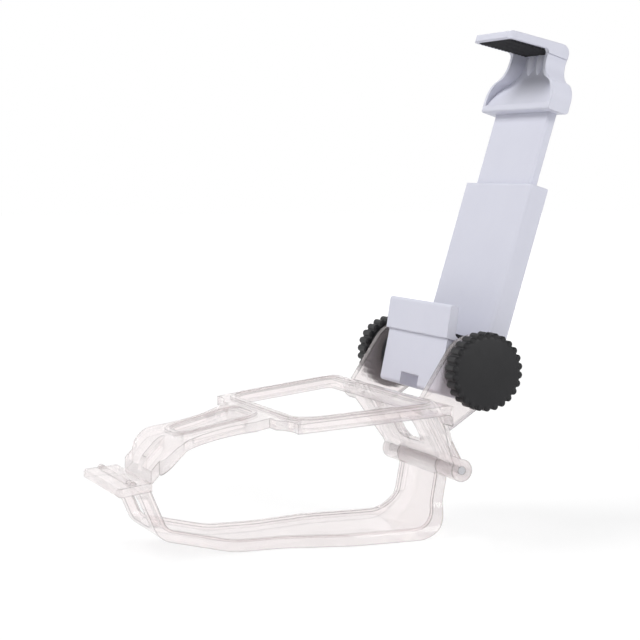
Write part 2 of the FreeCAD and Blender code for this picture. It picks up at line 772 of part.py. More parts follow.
def cover_plate(gap):
    """The flat part of the back cover, grown by a gap to make its seat."""
    half = COVER_HALF + gap
    points = [
        front(half, COVER_BOTTOM - gap),
        front(half, COVER_TOP + gap),
        front(-half, COVER_TOP + gap),
        front(-half, COVER_BOTTOM - gap),
    ]
    face = rounded_outline(points, [COVER_CORNER] * 4)
    face.translate(Vector(0, COVER_FRONT, 0))
    return face.extrude(Vector(0, COVER_WALL, 0))


def tube_plan():
    """The tube seen from above, with soft corners."""
    points = [
        above(TUBE_HALF, TUBE_FRONT),
        above(TUBE_HALF, TUBE_BACK),
        above(-TUBE_HALF, TUBE_BACK),
        above(-TUBE_HALF, TUBE_FRONT),
    ]
    return rounded_outline(points, [TUBE_EDGE, TUBE_EDGE / 2, TUBE_EDGE / 2, TUBE_EDGE])


def housing_form():
    """The housing's outer form, before it is hollowed."""
    face = housing_section()
    face.translate(ACROSS * -TUBE_HALF)
    whole = face.extrude(ACROSS * 2 * TUBE_HALF)
    split = SHELF_Z + SHELF_CORNER
    plan = tube_plan()
    plan.translate(UP * split)
    tube = whole.common(plan.extrude(UP * TUBE_TOP))
    near = LIP_TOP_Y - TOOL_MARGIN
    foot = whole.common(block(-TUBE_HALF, TUBE_HALF, near, TUBE_BACK, BLOCK_BOTTOM, split))
    lip = whole.common(block(-TUBE_HALF, TUBE_HALF, near, TUBE_FRONT, split, LIP_TOP_Z))
    return joined([foot, tube, lip])


def clamp_housing():
    """The housing's front part: block with bolt hole, lip, shelf and open-backed tube."""
    solid = housing_form()
    side_end = TUBE_HALF + TOOL_MARGIN
    near = LIP_TOP_Y - TOOL_MARGIN
    far = TUBE_BACK + TOOL_MARGIN
    low = BLOCK_BOTTOM - TOOL_MARGIN
    shave = block(BLOCK_HALF, side_end, near, far, low, CREASE_Z)
    guide_half = SLIDER_HALF + FACE_GAP
    stop_half = STOP_HALF + FACE_GAP
    cavity_far = COVER_FRONT + SKIN_OVERLAP
    cavity = block(-stop_half, stop_half, CAVITY_FRONT, cavity_far, CAVITY_FOOT, GUIDE_FOOT)
    mouth_top = TUBE_TOP + TOOL_MARGIN
    mouth = block(-guide_half, guide_half, CAVITY_FRONT, cavity_far, CAVITY_FOOT, mouth_top)
    notch = block(NOTCH_LEFT, NOTCH_RIGHT, near, far, low, BLOCK_BOTTOM + NOTCH_HEIGHT)
    stem_left = CATCH_LEFT - SEAT_GAP
    stem_room = block(stem_left, NOTCH_RIGHT, COVER_FRONT, far, BLOCK_BOTTOM, COVER_BOTTOM)
    ring_seat = rod(RING_RADIUS + SEAT_GAP, BLOCK_HALF, side_end)
    tools = [
        shave,
        mirrored(shave),
        ring_seat,
        mirrored(ring_seat),
        stem_room,
        cavity,
        mouth,
        cover_plate(SEAT_GAP),
        notch,
        rod(BOLT_RADIUS + RUNNING_GAP, -TUBE_HALF, TUBE_HALF),
    ]
    for x in (-COVER_SCREW_X, COVER_SCREW_X):
        tools.append(screw_hole(x, COVER_SCREW_Z, SCREW_LENGTH + SEAT_GAP))
    return cut_by(solid, tools)


def clamp_cover():
    """The back cover with its two screw holes and the catch that hooks into the notch."""
    high = BLOCK_BOTTOM + NOTCH_HEIGHT - SEAT_GAP
    low = high - CATCH_WALL
    right = NOTCH_RIGHT - SEAT_GAP
    far = TUBE_BACK - CATCH_INSET
    catch = block(CATCH_LEFT, right, TUBE_BACK - CATCH_DEPTH, far, low, high)
    stem = block(CATCH_LEFT, right, COVER_FRONT, far, low, COVER_BOTTOM + TOOL_MARGIN)
    holes = [screw_hole(x, COVER_SCREW_Z, SCREW_LENGTH) for x in (-COVER_SCREW_X, COVER_SCREW_X)]
    return cut_by(joined([cover_plate(0.0), catch, stem]), holes)


def cover_screws():
    """The two screws of the back cover."""
    pair = [screw(x, COVER_SCREW_Z, TUBE_BACK, SCREW_LENGTH) for x in (-COVER_SCREW_X, COVER_SCREW_X)]
    return Part.Compound(pair)


def shelf_pad():
    """The soft ribbed pad on the shelf under the phone's edge."""
    near = LIP_FOOT_Y + LIP_WALL + SHELF_CORNER
    far = TUBE_FRONT - SHELF_CORNER
    half = BLOCK_HALF - PAD_SIDE_MARGIN
    top = SHELF_Z + PAD_WALL - PAD_RIB
    pieces = [block(-half, half, near, far, SHELF_Z, top)]
    pitch = (far - near) / PAD_RIBS
    for i in range(PAD_RIBS):
        y = near + pitch * (i + 0.5)
        pieces.append(rod(PAD_RIB, -half, half, y, top))
    return joined(pieces)


# Slider

def slider_plate():
    """The flat plate that carries the upper jaw and runs in the housing."""
    plate = block(-SLIDER_HALF, SLIDER_HALF, SLIDER_FRONT, SLIDER_BACK, SLIDER_FOOT, SLIDER_TOP)
    middle = (SLIDER_FOOT + SLIDER_TOP) / 2
    long_edges = []
    for edge in plate.Edges:
        place = edge.CenterOfMass
        if abs(place.z - middle) < TOOL_MARGIN and place.y < SLIDER_FRONT + SLIDER_EDGE:
            long_edges.append(edge)
    plate = plate.makeChamfer(SLIDER_EDGE, long_edges)
    holes = []
    for x in (-JAW_SCREW_X, JAW_SCREW_X):
        holes.append(Part.makeCylinder(
            SCREW_RADIUS + THREAD_GAP, 2 * SLIDER_WALL,
            Vector(x, JAW_BACK - JAW_SCREW_LENGTH, JAW_SCREW_Z),
            Vector(0, 1, 0),
        ))
    return cut_by(plate, holes)


def slider_stop():
    """The bar across the slider's foot that the housing's guides stop."""
    low = SLIDER_FOOT - STOP_HEIGHT
    return block(-STOP_HALF, STOP_HALF, SLIDER_FRONT, SLIDER_BACK, low, SLIDER_FOOT)


def leaf_spring():
    """The thin bowed steel leaf behind the slider that makes it hold its place."""
    rest = COVER_FRONT - SPRING_WALL / 2
    middle = (SPRING_LOW + SPRING_HIGH) / 2
    bow = COVER_FRONT - SLIDER_BACK - SPRING_WALL - RUNNING_GAP
    path = [side(rest, SPRING_LOW), side(rest - bow, middle), side(rest, SPRING_HIGH)]
    wall = SPRING_WALL / 2
    return bent_strip(path, [0, SPRING_BOW_RADIUS, 0], -wall, wall, -SPRING_HALF, SPRING_HALF)


# Upper jaw

def jaw_front_view(inset):
    """The bell outline of the upper jaw seen from the front, drawn in by an inset."""
    base = JAW_BASE_HALF - inset
    waist = JAW_WAIST_HALF - inset
    shoulder = front(base, JAW_BASE_TOP)
    neck = front(waist, JAW_WAIST_Z)
    middle = (shoulder + neck) / 2
    span = neck - shoulder
    bend = span.Length ** 2 / (4 * abs(span.x))
    reach = bend * math.sin(math.atan2(abs(span.x), span.z))
    rise = bend * math.cos(math.atan2(abs(span.x), span.z))
    low_turn = front(base - bend + rise, JAW_BASE_TOP + reach)
    high_turn = front(waist + bend - rise, JAW_WAIST_Z - reach)
    right = [
        Part.LineSegment(front(base, JAW_BOTTOM + inset), shoulder).toShape(),
        Part.Arc(shoulder, low_turn, middle).toShape(),
        Part.Arc(middle, high_turn, neck).toShape(),
        Part.LineSegment(neck, front(waist, HOOK_TOP)).toShape(),
    ]
    foot = Part.LineSegment(front(base, JAW_BOTTOM + inset), front(-base, JAW_BOTTOM + inset)).toShape()
    head = Part.LineSegment(front(waist, HOOK_TOP), front(-waist, HOOK_TOP)).toShape()
    edges = right + [head, foot] + [mirrored(edge) for edge in right]
    return Part.Face(Part.Wire(Part.__sortEdges__(edges)))


def hook_underside(y):
    """The height of the hook's underside, which rises towards the back."""
    return HOOK_UNDERSIDE + (y - HOOK_FRONT_Y) * math.tan(math.radians(HOOK_RISE_ANGLE))


def hook_section():
    """The jaw seen from the side: upright back, rounded top and forward hook."""
    points = [
        side(JAW_FRONT, JAW_BOTTOM),
        side(JAW_FRONT, hook_underside(JAW_FRONT)),
        side(HOOK_FRONT_Y, HOOK_UNDERSIDE),
        side(HOOK_FRONT_Y, HOOK_FRONT_TOP),
        side(JAW_BACK, HOOK_TOP),
        side(JAW_BACK, JAW_BOTTOM),
    ]
    radii = [
        JAW_FRONT_EDGE, HOOK_THROAT_EDGE, HOOK_TIP_LOW_EDGE,
        HOOK_TIP_HIGH_EDGE, HOOK_BACK_EDGE, JAW_BACK_EDGE,
    ]
    return rounded_outline(points, radii)


def hook_plan(inset):
    """The hook seen from above, drawn in by an inset."""
    half = JAW_WAIST_HALF + HOOK_SIDE_MARGIN - inset
    far = JAW_BACK + TOOL_MARGIN
    points = [
        above(half, far),
        above(half, HOOK_FRONT_Y + inset),
        above(-half, HOOK_FRONT_Y + inset),
        above(-half, far),
    ]
    return rounded_outline(points, [0, HOOK_CORNER - inset, HOOK_CORNER - inset, 0])


def scoop():
    """The hollow in the jaw's front that leaves a rim and sweeps forward at its foot."""
    near = JAW_FRONT - TOOL_MARGIN
    points = [
        side(near, JAW_SCOOP_FOOT),
        side(JAW_FRONT + JAW_SCOOP_LIP, JAW_SCOOP_FOOT),
        side(SCOOP_BACK, JAW_SCOOP_DEEP_Z),
        side(SCOOP_BACK, hook_underside(SCOOP_BACK)),
        side(near, hook_underside(near)),
    ]
    face = rounded_outline(points, [0, 0, JAW_SCOOP_RADIUS, 0, 0])
    face.translate(ACROSS * -JAW_BASE_HALF)
    hollow = face.extrude(ACROSS * 2 * JAW_BASE_HALF)
    view = jaw_front_view(JAW_RIM)
    view.translate(Vector(0, near, 0))
    return hollow.common(view.extrude(Vector(0, JAW_SCOOP + 2 * TOOL_MARGIN, 0)))


def flutes():
    """The short upright flutes under the hook that run out downwards."""
    lean = math.radians(FLUTE_LEAN_ANGLE)
    direction = Vector(0, -math.sin(lean), -math.cos(lean))
    tools = []
    for i in range(FLUTES):
        x = (i - (FLUTES - 1) / 2) * FLUTE_PITCH
        start = Vector(x, SCOOP_BACK + FLUTE_SINK, hook_underside(SCOOP_BACK))
        tools.append(Part.makeCylinder(FLUTE_RADIUS, FLUTE_LENGTH, start, direction))
    return tools


def pad_recess(depth, inset):
    """The space under the hook that the jaw pad fills, drawn level."""
    plan = hook_plan(HOOK_RIM + inset)
    plan.translate(UP * (HOOK_UNDERSIDE - SKIN_OVERLAP))
    solid = plan.extrude(UP * (depth + SKIN_OVERLAP))
    far = JAW_BACK + 2 * TOOL_MARGIN
    low = HOOK_UNDERSIDE - TOOL_MARGIN
    return solid.cut(block(-JAW_BASE_HALF, JAW_BASE_HALF, SCOOP_BACK - inset, far, low, HOOK_TOP))


def turned_to_hook(shape):
    """A shape drawn level, turned to lie along the hook's sloping underside."""
    turned = shape.copy()
    turned.rotate(Vector(0, HOOK_FRONT_Y, HOOK_UNDERSIDE), ACROSS, HOOK_RISE_ANGLE)
    return turned


def upper_jaw():
    """The upper jaw: a bell-shaped back with a scooped front, and the hook over the phone."""
    section = hook_section()
    section.translate(ACROSS * -JAW_BASE_HALF)
    side_form = section.extrude(ACROSS * 2 * JAW_BASE_HALF)
    view = jaw_front_view(0)
    view.translate(Vector(0, JAW_FRONT - TOOL_MARGIN, 0))
    back = block(-JAW_BASE_HALF, JAW_BASE_HALF, JAW_FRONT, JAW_BACK, JAW_BOTTOM, HOOK_TOP)
    back = side_form.common(back).common(view.extrude(Vector(0, JAW_BACK + TOOL_MARGIN, 0)))
    plan = hook_plan(0)
    plan.translate(UP * HOOK_UNDERSIDE)
    hook = side_form.common(plan.extrude(UP * (HOOK_TOP - HOOK_UNDERSIDE)))
    solid = joined([back, hook])
    socket = block(
        -SLIDER_HALF - SEAT_GAP, SLIDER_HALF + SEAT_GAP, SLIDER_FRONT - SEAT_GAP,
        SLIDER_BACK + SEAT_GAP, JAW_BOTTOM - TOOL_MARGIN, SLIDER_TOP + SEAT_GAP,
    )
    tools = [scoop(), turned_to_hook(pad_recess(PAD_WALL, 0)), socket] + flutes()
    for x in (-JAW_SCREW_X, JAW_SCREW_X):
        inward = Vector(0, -1, 0)
        start = Vector(x, JAW_BACK, JAW_SCREW_Z)
        tools.append(Part.makeCylinder(SCREW_HEAD_RADIUS + SEAT_GAP, SCREW_HEAD / 2, start, inward))
        tools.append(Part.makeCylinder(SCREW_RADIUS + THREAD_GAP, JAW_SCREW_LENGTH, start, inward))
    return cut_by(solid, tools)


def jaw_pad():
    """The dark pad let into the hook's underside, with ribs that grip the phone."""
    pieces = [pad_recess(PAD_WALL, SEAT_GAP)]
    near = HOOK_FRONT_Y + HOOK_RIM
    pitch = (SCOOP_BACK - near) / (JAW_PAD_RIBS + 1)
    half = JAW_WAIST_HALF - 2 * HOOK_RIM
    for i in range(JAW_PAD_RIBS):
        y = near + pitch * (i + 1)
        pieces.append(rod(PAD_RIB, -half, half, y, HOOK_UNDERSIDE))
    return turned_to_hook(joined(pieces))


def jaw_screws():
    """The two screws that hold the jaw to the slider."""
    back = JAW_BACK + SCREW_HEAD / 2
    pair = [screw(x, JAW_SCREW_Z, back, JAW_SCREW_LENGTH) for x in (-JAW_SCREW_X, JAW_SCREW_X)]
    return Part.Compound(pair)


# Placing and writing

def at_rest(shape, lean):
    """A copy of a shape leaned back about the knob axis and moved to its place."""
    placed = shape.copy()
    placed.rotate(Vector(0, 0, 0), ACROSS, -lean)
    placed.translate(Vector(0, -UNDERSIDE_MIDDLE_Y, STRAP_WALL / 2 - STRAP_FLOOR_Z))
    return placed


CRADLE_NODES = {
    "cradle_frame": cradle_frame(),
    "hinge_pin": hinge_pin(),
    "strap": strap(),
    "washer_right": washer(),
    "washer_left": mirrored(washer()),
    "knob_right": knob_right(),
    "knob_left": knob_left(),
    "cross_bolt": cross_bolt(),
    "knob_nut": knob_nut(),
}

CLAMP_NODES = {
    "clamp_housing": clamp_housing(),
    "clamp_cover": clamp_cover(),
    "cover_screws": cover_screws(),
    "shelf_pad": shelf_pad(),
    "leaf_spring": leaf_spring(),
    "friction_ring_right": friction_ring(),
    "friction_ring_left": mirrored(friction_ring()),
    "slider_plate": slider_plate(),
    "slider_stop": slider_stop(),
    "upper_jaw": upper_jaw(),
    "jaw_pad": jaw_pad(),
    "jaw_screws": jaw_screws(),
}


def main():
    """Writes each piece to its own file and prints its volume and corners."""
    os.makedirs("parts", exist_ok=True)
    placed = {name: at_rest(shape, 0) for name, shape in CRADLE_NODES.items()}
    placed.update({name: at_rest(shape, CLAMP_LEAN_ANGLE) for name, shape in CLAMP_NODES.items()})
    for name, shape in placed.items():
        shape.exportStep(f"parts/{name}.step")
        box = shape.BoundBox
        print(
            f"{name}: {shape.Volume / 1000:.2f} cm3, {len(shape.Solids)} solid, "
            f"x {box.XMin:.1f} {box.XMax:.1f}, y {box.YMin:.1f} {box.YMax:.1f}, "
            f"z {box.ZMin:.1f} {box.ZMax:.1f}, valid {shape.isValid()}"
        )


main()
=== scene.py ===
"""Looks for a controller phone clip: finishes, fine detail, studio light and camera.

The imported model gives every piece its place. The moulded and metal pieces keep their
shapes and get their finishes here. Knobs, screws, pads and friction rings are made
again in more detail over the plain ones, and the jaw's flutes get their ribs.
Lengths are metres unless a name says otherwise.
"""
import logging
import math
from dataclasses import dataclass
from enum import Enum
from typing import Any, Sequence

import bmesh
import bpy
from mathutils import Matrix, Vector


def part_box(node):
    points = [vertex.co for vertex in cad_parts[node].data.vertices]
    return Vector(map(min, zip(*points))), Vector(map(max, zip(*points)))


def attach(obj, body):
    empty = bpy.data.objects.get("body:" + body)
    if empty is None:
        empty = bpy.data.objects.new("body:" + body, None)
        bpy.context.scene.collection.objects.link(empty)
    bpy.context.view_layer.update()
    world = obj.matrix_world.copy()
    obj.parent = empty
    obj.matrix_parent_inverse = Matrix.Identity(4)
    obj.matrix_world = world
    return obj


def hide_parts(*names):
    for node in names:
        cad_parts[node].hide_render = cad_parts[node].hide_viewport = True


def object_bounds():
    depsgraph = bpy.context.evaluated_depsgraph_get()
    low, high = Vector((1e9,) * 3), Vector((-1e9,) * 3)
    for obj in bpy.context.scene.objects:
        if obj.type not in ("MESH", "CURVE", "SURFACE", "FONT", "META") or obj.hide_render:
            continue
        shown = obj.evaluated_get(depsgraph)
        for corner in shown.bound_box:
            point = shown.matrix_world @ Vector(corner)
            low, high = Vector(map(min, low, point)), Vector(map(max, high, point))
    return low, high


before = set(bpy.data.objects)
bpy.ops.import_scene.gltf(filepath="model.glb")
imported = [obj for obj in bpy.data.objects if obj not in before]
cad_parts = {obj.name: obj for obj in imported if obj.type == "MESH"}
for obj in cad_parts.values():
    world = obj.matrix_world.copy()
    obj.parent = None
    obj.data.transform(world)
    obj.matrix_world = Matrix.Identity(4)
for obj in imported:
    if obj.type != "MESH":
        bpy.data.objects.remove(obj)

LOG = logging.getLogger("phone_clip")
MM = 0.001
QUARTER_TURN = math.radians(90)
SHADE_ANGLE = math.radians(35)
CAD_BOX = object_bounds()

# The mix node's colour sockets share their names with others, so they go by number.
MIX_FIRST = 6
MIX_SECOND = 7
MIX_RESULT = 2

# Most of Blender's noise lies between these two levels.
NOISE_LOW = 0.3
NOISE_HIGH = 0.7

# How many finer layers a noise has.
PLAIN_NOISE = 1.0
FINE_NOISE = 2.0
RICH_NOISE = 3.0

# How far a softened normal agrees with the plain one beside an edge and on it.
EDGE_STARTS = 0.99
EDGE_FULL = 0.88
EDGE_SAMPLES = 8
RELIEF_SAMPLES = 4

Colour = tuple[float, float, float]
Place = tuple[float, float, float]
Inputs = dict[str | int, Any]
Socket = bpy.types.NodeSocket


class Slot(Enum):
    """The record's material slots."""

    CLEAR = "clear_plastic"
    PALE = "pale_plastic"
    BLACK = "black_plastic"
    RUBBER = "dark_rubber"
    STEEL = "steel"


class Body(Enum):
    """The bodies that new pieces ride on."""

    CLAMP = "clamp"
    JAW = "jaw"
    LEFT_KNOB = "left_knob"
    RIGHT_KNOB = "right_knob"


def from_screen(red: int, green: int, blue: int) -> Colour:
    """Turns a screen colour into the linear colour that shaders use, by the sRGB curve.

    Args:
        red: Red from 0 to 255.
        green: Green from 0 to 255.
        blue: Blue from 0 to 255.

    Returns:
        The linear colour.
    """
    def linear(level: int) -> float:
        share = level / 255
        return share / 12.92 if share <= 0.04045 else ((share + 0.055) / 1.055) ** 2.4

    return linear(red), linear(green), linear(blue)


class NodeSheet:
    """A node tree with short calls to add its nodes and feed them."""

    def __init__(self, tree: bpy.types.NodeTree) -> None:
        """Takes the tree that the nodes go into.

        Args:
            tree: The node tree.
        """
        self.tree = tree

    def feed(self, node: bpy.types.Node, inputs: Inputs) -> None:
        """Feeds a node's inputs.

        Args:
            node: The node.
            inputs: For each input's name or number, a socket to link or a value to set.
        """
        for key, value in inputs.items():
            if isinstance(value, Socket):
                self.tree.links.new(value, node.inputs[key])
            else:
                node.inputs[key].default_value = value

    def add(self, kind: str, inputs: Inputs | None = None, **values: Any) -> bpy.types.Node:
        """Adds a node, sets its properties and feeds its inputs.

        Args:
            kind: The node's type name.
            inputs: For each input's name or number, a socket to link or a value to set.
            **values: Properties to set on the node.

        Returns:
            The new node.
        """
        node = self.tree.nodes.new(kind)
        for key, value in values.items():
            setattr(node, key, value)
        self.feed(node, inputs or {})
        return node

    def maths(self, operation: str, first: Any, second: Any) -> Socket:
        """Adds a sum, product or other operation on two numbers.

        Args:
            operation: Blender's name for it.
            first: A socket or a number.
            second: A socket or a number.

        Returns:
            The result.
        """
        return self.add("ShaderNodeMath", {0: first, 1: second}, operation=operation).outputs[0]

    def mapped(self, level: Any, first: float, last: float, low: Any, high: Any) -> Socket:
        """Maps a range of levels onto another range, and holds it at both ends.

        Args:
            level: The level to map.
            first: The level that gives low.
            last: The level that gives high.
            low: A socket or a number.
            high: A socket or a number.

        Returns:
            The mapped value.
        """
        node = self.add("ShaderNodeMapRange", {
            "Value": level, "From Min": first, "From Max": last, "To Min": low, "To Max": high,
        })
        return node.outputs["Result"]

    def seen_directly(self) -> Socket:
        """Adds a test that is 1 for rays from the camera, a reflection or a clear wall.

        Returns:
            The test's result.
        """
        path = self.add("ShaderNodeLightPath").outputs
        total: Socket = path["Is Camera Ray"]
        for name in ("Is Glossy Ray", "Is Transmission Ray"):
            total = self.maths("MAXIMUM", total, path[name])
        return total


class ShaderSheet(NodeSheet):
    """A material's node tree with one main shader."""

    def __init__(self, name: str) -> None:
        """Starts a material with one main shader.

        Args:
            name: The material's name.
        """
        self.material = bpy.data.materials.new(name)
        self.material.use_nodes = True
        super().__init__(self.material.node_tree)
        self.tree.nodes.clear()
        self.shader = self.add("ShaderNodeBsdfPrincipled")
        self.add("ShaderNodeOutputMaterial", {"Surface": self.shader.outputs["BSDF"]})
        self.place = self.add("ShaderNodeTexCoord").outputs["Object"]

    def dress(self, **values: Any) -> None:
        """Feeds the main shader's own sockets.

        Args:
            **values: Socket names with underscores for spaces, each with a socket to
                link or a constant to set.
        """
        self.feed(self.shader, {key.replace("_", " "): value for key, value in values.items()})

    def noise(
        self, grain: float, detail: float = FINE_NOISE, stretch: Sequence[float] = (1, 1, 1),
    ) -> Socket:
        """Adds noise whose grains have a real size.

        Args:
            grain: The size of one grain in metres.
            detail: How many finer layers the noise has.
            stretch: How much each axis is squeezed before the noise is read.

        Returns:
            The noise's level from 0 to 1.
        """
        mapping = self.add("ShaderNodeMapping", {"Vector": self.place, "Scale": stretch})
        node = self.add("ShaderNodeTexNoise", {
            "Vector": mapping.outputs["Vector"], "Scale": 1 / grain, "Detail": detail,
        })
        return node.outputs["Fac"]

    def spread(self, noise: Socket, low: float, high: float) -> Socket:
        """Maps a noise onto another range.

        Args:
            noise: The noise to map.
            low: The value for the noise's dark parts.
            high: The value for its light parts.

        Returns:
            The mapped value.
        """
        return self.mapped(noise, NOISE_LOW, NOISE_HIGH, low, high)

    def between(self, level: Socket, first: Colour, second: Colour) -> Socket:
        """Mixes two colours by a level.

        Args:
            level: 0 gives the first colour and 1 the second.
            first: The first colour.
            second: The second colour.

        Returns:
            The mixed colour.
        """
        node = self.add(
            "ShaderNodeMix",
            {"Factor": level, MIX_FIRST: (*first, 1), MIX_SECOND: (*second, 1)},
            data_type="RGBA",
        )
        return node.outputs[MIX_RESULT]

    def softened(self, radius: float, samples: int) -> Socket:
        """Adds a normal that turns softly over the sharp edges.

        Args:
            radius: How far from an edge it starts to turn, in metres.
            samples: How many rays find it.

        Returns:
            The normal.
        """
        node = self.add("ShaderNodeBevel", {"Radius": radius}, samples=samples)
        return node.outputs["Normal"]

    def relief(self, height: Socket, depth: float, edge: float) -> None:
        """Gives the surface a fine relief and softened edges.

        Args:
            height: The relief's level from 0 to 1.
            depth: Its depth in metres.
            edge: The radius of the softened edges in metres.
        """
        bump = self.add("ShaderNodeBump", {
            "Strength": 1.0, "Distance": depth, "Height": height,
            "Normal": self.softened(edge, RELIEF_SAMPLES),
        })
        self.dress(Normal=bump.outputs["Normal"])

    def edges(self, radius: float) -> Socket:
        """Finds the surface's sharp edges from how a softened normal turns away there.

        Args:
            radius: How far from an edge the mark reaches, in metres.

        Returns:
            A level that is 0 on open faces and 1 on the edges.
        """
        plain = self.add("ShaderNodeNewGeometry").outputs["Normal"]
        match = self.add(
            "ShaderNodeVectorMath",
            {0: self.softened(radius, EDGE_SAMPLES), 1: plain},
            operation="DOT_PRODUCT",
        )
        return self.mapped(match.outputs["Value"], EDGE_STARTS, EDGE_FULL, 0.0, 1.0)


@dataclass(frozen=True)
class MouldedPlastic:
    """A satin moulded plastic with a fine spark-eroded grain.

    Attributes:
        name: The material's name.
        shade: The colour of its light parts.
        deep_shade: The colour of its dark parts.
        roughness: How dull it is, from 0 to 1.
        roughness_swing: How far the roughness strays from patch to patch.
        gloss: The strength of its reflections.
        refraction: Its index of refraction.
        cloud: The size of the patches of colour.
        patch: The size of the patches of roughness.
        grain: The size of the grain.
        grain_depth: The grain's depth.
        edge: The radius of the softened edges.
    """

    name: str
    shade: Colour
    deep_shade: Colour
    roughness: float = 0.5
    roughness_swing: float = 0.05
    gloss: float = 0.45
    refraction: float = 1.48
    cloud: float = 9 * MM
    patch: float = 2 * MM
    grain: float = 0.35 * MM
    grain_depth: float = 0.012 * MM
    edge: float = 0.25 * MM

    def build(self) -> bpy.types.Material:
        """Makes the material.

        Returns:
            The material.
        """
        sheet = ShaderSheet(self.name)
        cloud = sheet.noise(self.cloud, RICH_NOISE)
        sheet.dress(
            Base_Color=sheet.between(cloud, self.deep_shade, self.shade),
            Roughness=sheet.spread(
                sheet.noise(self.patch),
                self.roughness - self.roughness_swing,
                self.roughness + self.roughness_swing,
            ),
            IOR=self.refraction,
            Specular_IOR_Level=self.gloss,
        )
        sheet.relief(sheet.noise(self.grain, PLAIN_NOISE), self.grain_depth, self.edge)
        return sheet.material


@dataclass(frozen=True)
class ClearPlastic:
    """A thin clear moulded plastic, faintly milky, with painted dark shade on its edges that
    stands in for the shade refraction gives there.

    Attributes:
        name: The material's name.
        tint: The colour of its faces.
        painted_edge_shade: The colour of the painted shade on its edges, dark where refraction
            darkens a clear edge.
        painted_shade_width: How far the painted edge shade reaches.
        edge: The radius of the softened edges.
        clearness: How much light it lets through.
        cover: How much it hides what lies behind it.
        refraction: Its index of refraction.
        roughness: How dull its clearest parts are.
        worn_roughness: How dull its dullest parts are.
        patch: The size of the patches of roughness.
        wave: The length of the faint waves from moulding.
        wave_depth: Their depth.
    """

    name: str = "clear_plastic"
    tint: Colour = from_screen(254, 244, 244)
    # Painted shade: the edge colour is a dark tint that stands in for the shade refraction gives
    # at a clear edge.
    painted_edge_shade: Colour = from_screen(40, 27, 27)
    painted_shade_width: float = 0.5 * MM
    edge: float = 0.2 * MM
    clearness: float = 0.74
    cover: float = 0.59
    refraction: float = 1.45
    roughness: float = 0.06
    worn_roughness: float = 0.12
    patch: float = 1.5 * MM
    wave: float = 5 * MM
    wave_depth: float = 0.02 * MM

    def build(self) -> bpy.types.Material:
        """Makes the material.

        Returns:
            The material.
        """
        sheet = ShaderSheet(self.name)
        sheet.dress(
            # Painted shade: the sharp edges get the dark edge colour, standing in for the shade
            # refraction gives there.
            Base_Color=sheet.between(sheet.edges(self.painted_shade_width), self.tint, self.painted_edge_shade),
            Roughness=sheet.spread(sheet.noise(self.patch), self.roughness, self.worn_roughness),
            IOR=self.refraction,
            Transmission_Weight=self.clearness,
            Alpha=self.cover,
        )
        sheet.relief(sheet.noise(self.wave, PLAIN_NOISE), self.wave_depth, self.edge)
        return sheet.material


@dataclass(frozen=True)
class SoftRubber:
    """A dull dark rubber with a fine pitted face, its fields as in the plastics above."""

    name: str = "dark_rubber"
    shade: Colour = from_screen(52, 52, 56)
    deep_shade: Colour = from_screen(42, 42, 45)
    roughness: float = 0.75
    worn_roughness: float = 0.9
    gloss: float = 0.3
    refraction: float = 1.45
    cloud: float = 1.2 * MM
    patch: float = 0.8 * MM
    pit: float = 0.25 * MM
    pit_depth: float = 0.03 * MM
    edge: float = 0.15 * MM

    def build(self) -> bpy.types.Material:
        """Makes the material.

        Returns:
            The material.
        """
        sheet = ShaderSheet(self.name)
        sheet.dress(
            Base_Color=sheet.between(sheet.noise(self.cloud), self.deep_shade, self.shade),
            Roughness=sheet.spread(sheet.noise(self.patch), self.roughness, self.worn_roughness),
            IOR=self.refraction,
            Specular_IOR_Level=self.gloss,
        )
        sheet.relief(sheet.noise(self.pit), self.pit_depth, self.edge)
        return sheet.material


@dataclass(frozen=True)
class PlatedSteel:
    """Zinc plated steel with fine turning marks, its fields as in the plastics above."""

    name: str = "steel"
    shade: Colour = from_screen(205, 205, 208)
    deep_shade: Colour = from_screen(178, 178, 182)
    roughness: float = 0.22
    worn_roughness: float = 0.4
    mark: float = 0.2 * MM
    mark_stretch: tuple[float, float, float] = (8, 1, 1)
    mark_depth: float = 0.008 * MM
    edge: float = 0.1 * MM

    def build(self) -> bpy.types.Material:
        """Makes the material.

        Returns:
            The material.
        """
        sheet = ShaderSheet(self.name)
        marks = sheet.noise(self.mark, stretch=self.mark_stretch)
        sheet.dress(
            Base_Color=sheet.between(marks, self.deep_shade, self.shade),
            Roughness=sheet.spread(marks, self.roughness, self.worn_roughness),
            Metallic=1.0,
        )
        sheet.relief(marks, self.mark_depth, self.edge)
        return sheet.material


class Finishes:
    """Every finish of the clip, made once."""

    def __init__(self) -> None:
        """Makes the materials."""
        pale = MouldedPlastic(
            "pale_plastic", from_screen(218, 219, 231), from_screen(213, 214, 227),
        )
        black = MouldedPlastic(
            "black_plastic", from_screen(38, 38, 40), from_screen(30, 30, 32),
            gloss=0.3, grain_depth=0.02 * MM, edge=0.2 * MM,
        )
        self.by_slot: dict[Slot, bpy.types.Material] = {
            Slot.CLEAR: ClearPlastic().build(),
            Slot.PALE: pale.build(),
            Slot.BLACK: black.build(),
            Slot.RUBBER: SoftRubber().build(),
            Slot.STEEL: PlatedSteel().build(),
        }

    def dress(self, piece: bpy.types.Object, slot: Slot) -> None:
        """Gives a piece one finish all over.

        Args:
            piece: The piece to dress.
            slot: The finish.
        """
        material = self.by_slot[slot]
        if not piece.data.materials:
            piece.data.materials.append(material)
        for place in piece.material_slots:
            place.material = material


def shade_by_angle(mesh: bpy.types.Mesh) -> None:
    """Shades a mesh smooth but for its sharp edges."""
    mesh.shade_smooth()
    mesh.set_sharp_from_angle(angle=SHADE_ANGLE)


def in_scene(name: str, data: bpy.types.ID) -> bpy.types.Object:
    """Adds a mesh, lamp or camera to the scene at the origin.

    Args:
        name: The new object's name.
        data: What it shows, already in place if it is a mesh.

    Returns:
        The new object.
    """
    piece = bpy.data.objects.new(name, data)
    bpy.context.scene.collection.objects.link(piece)
    return piece


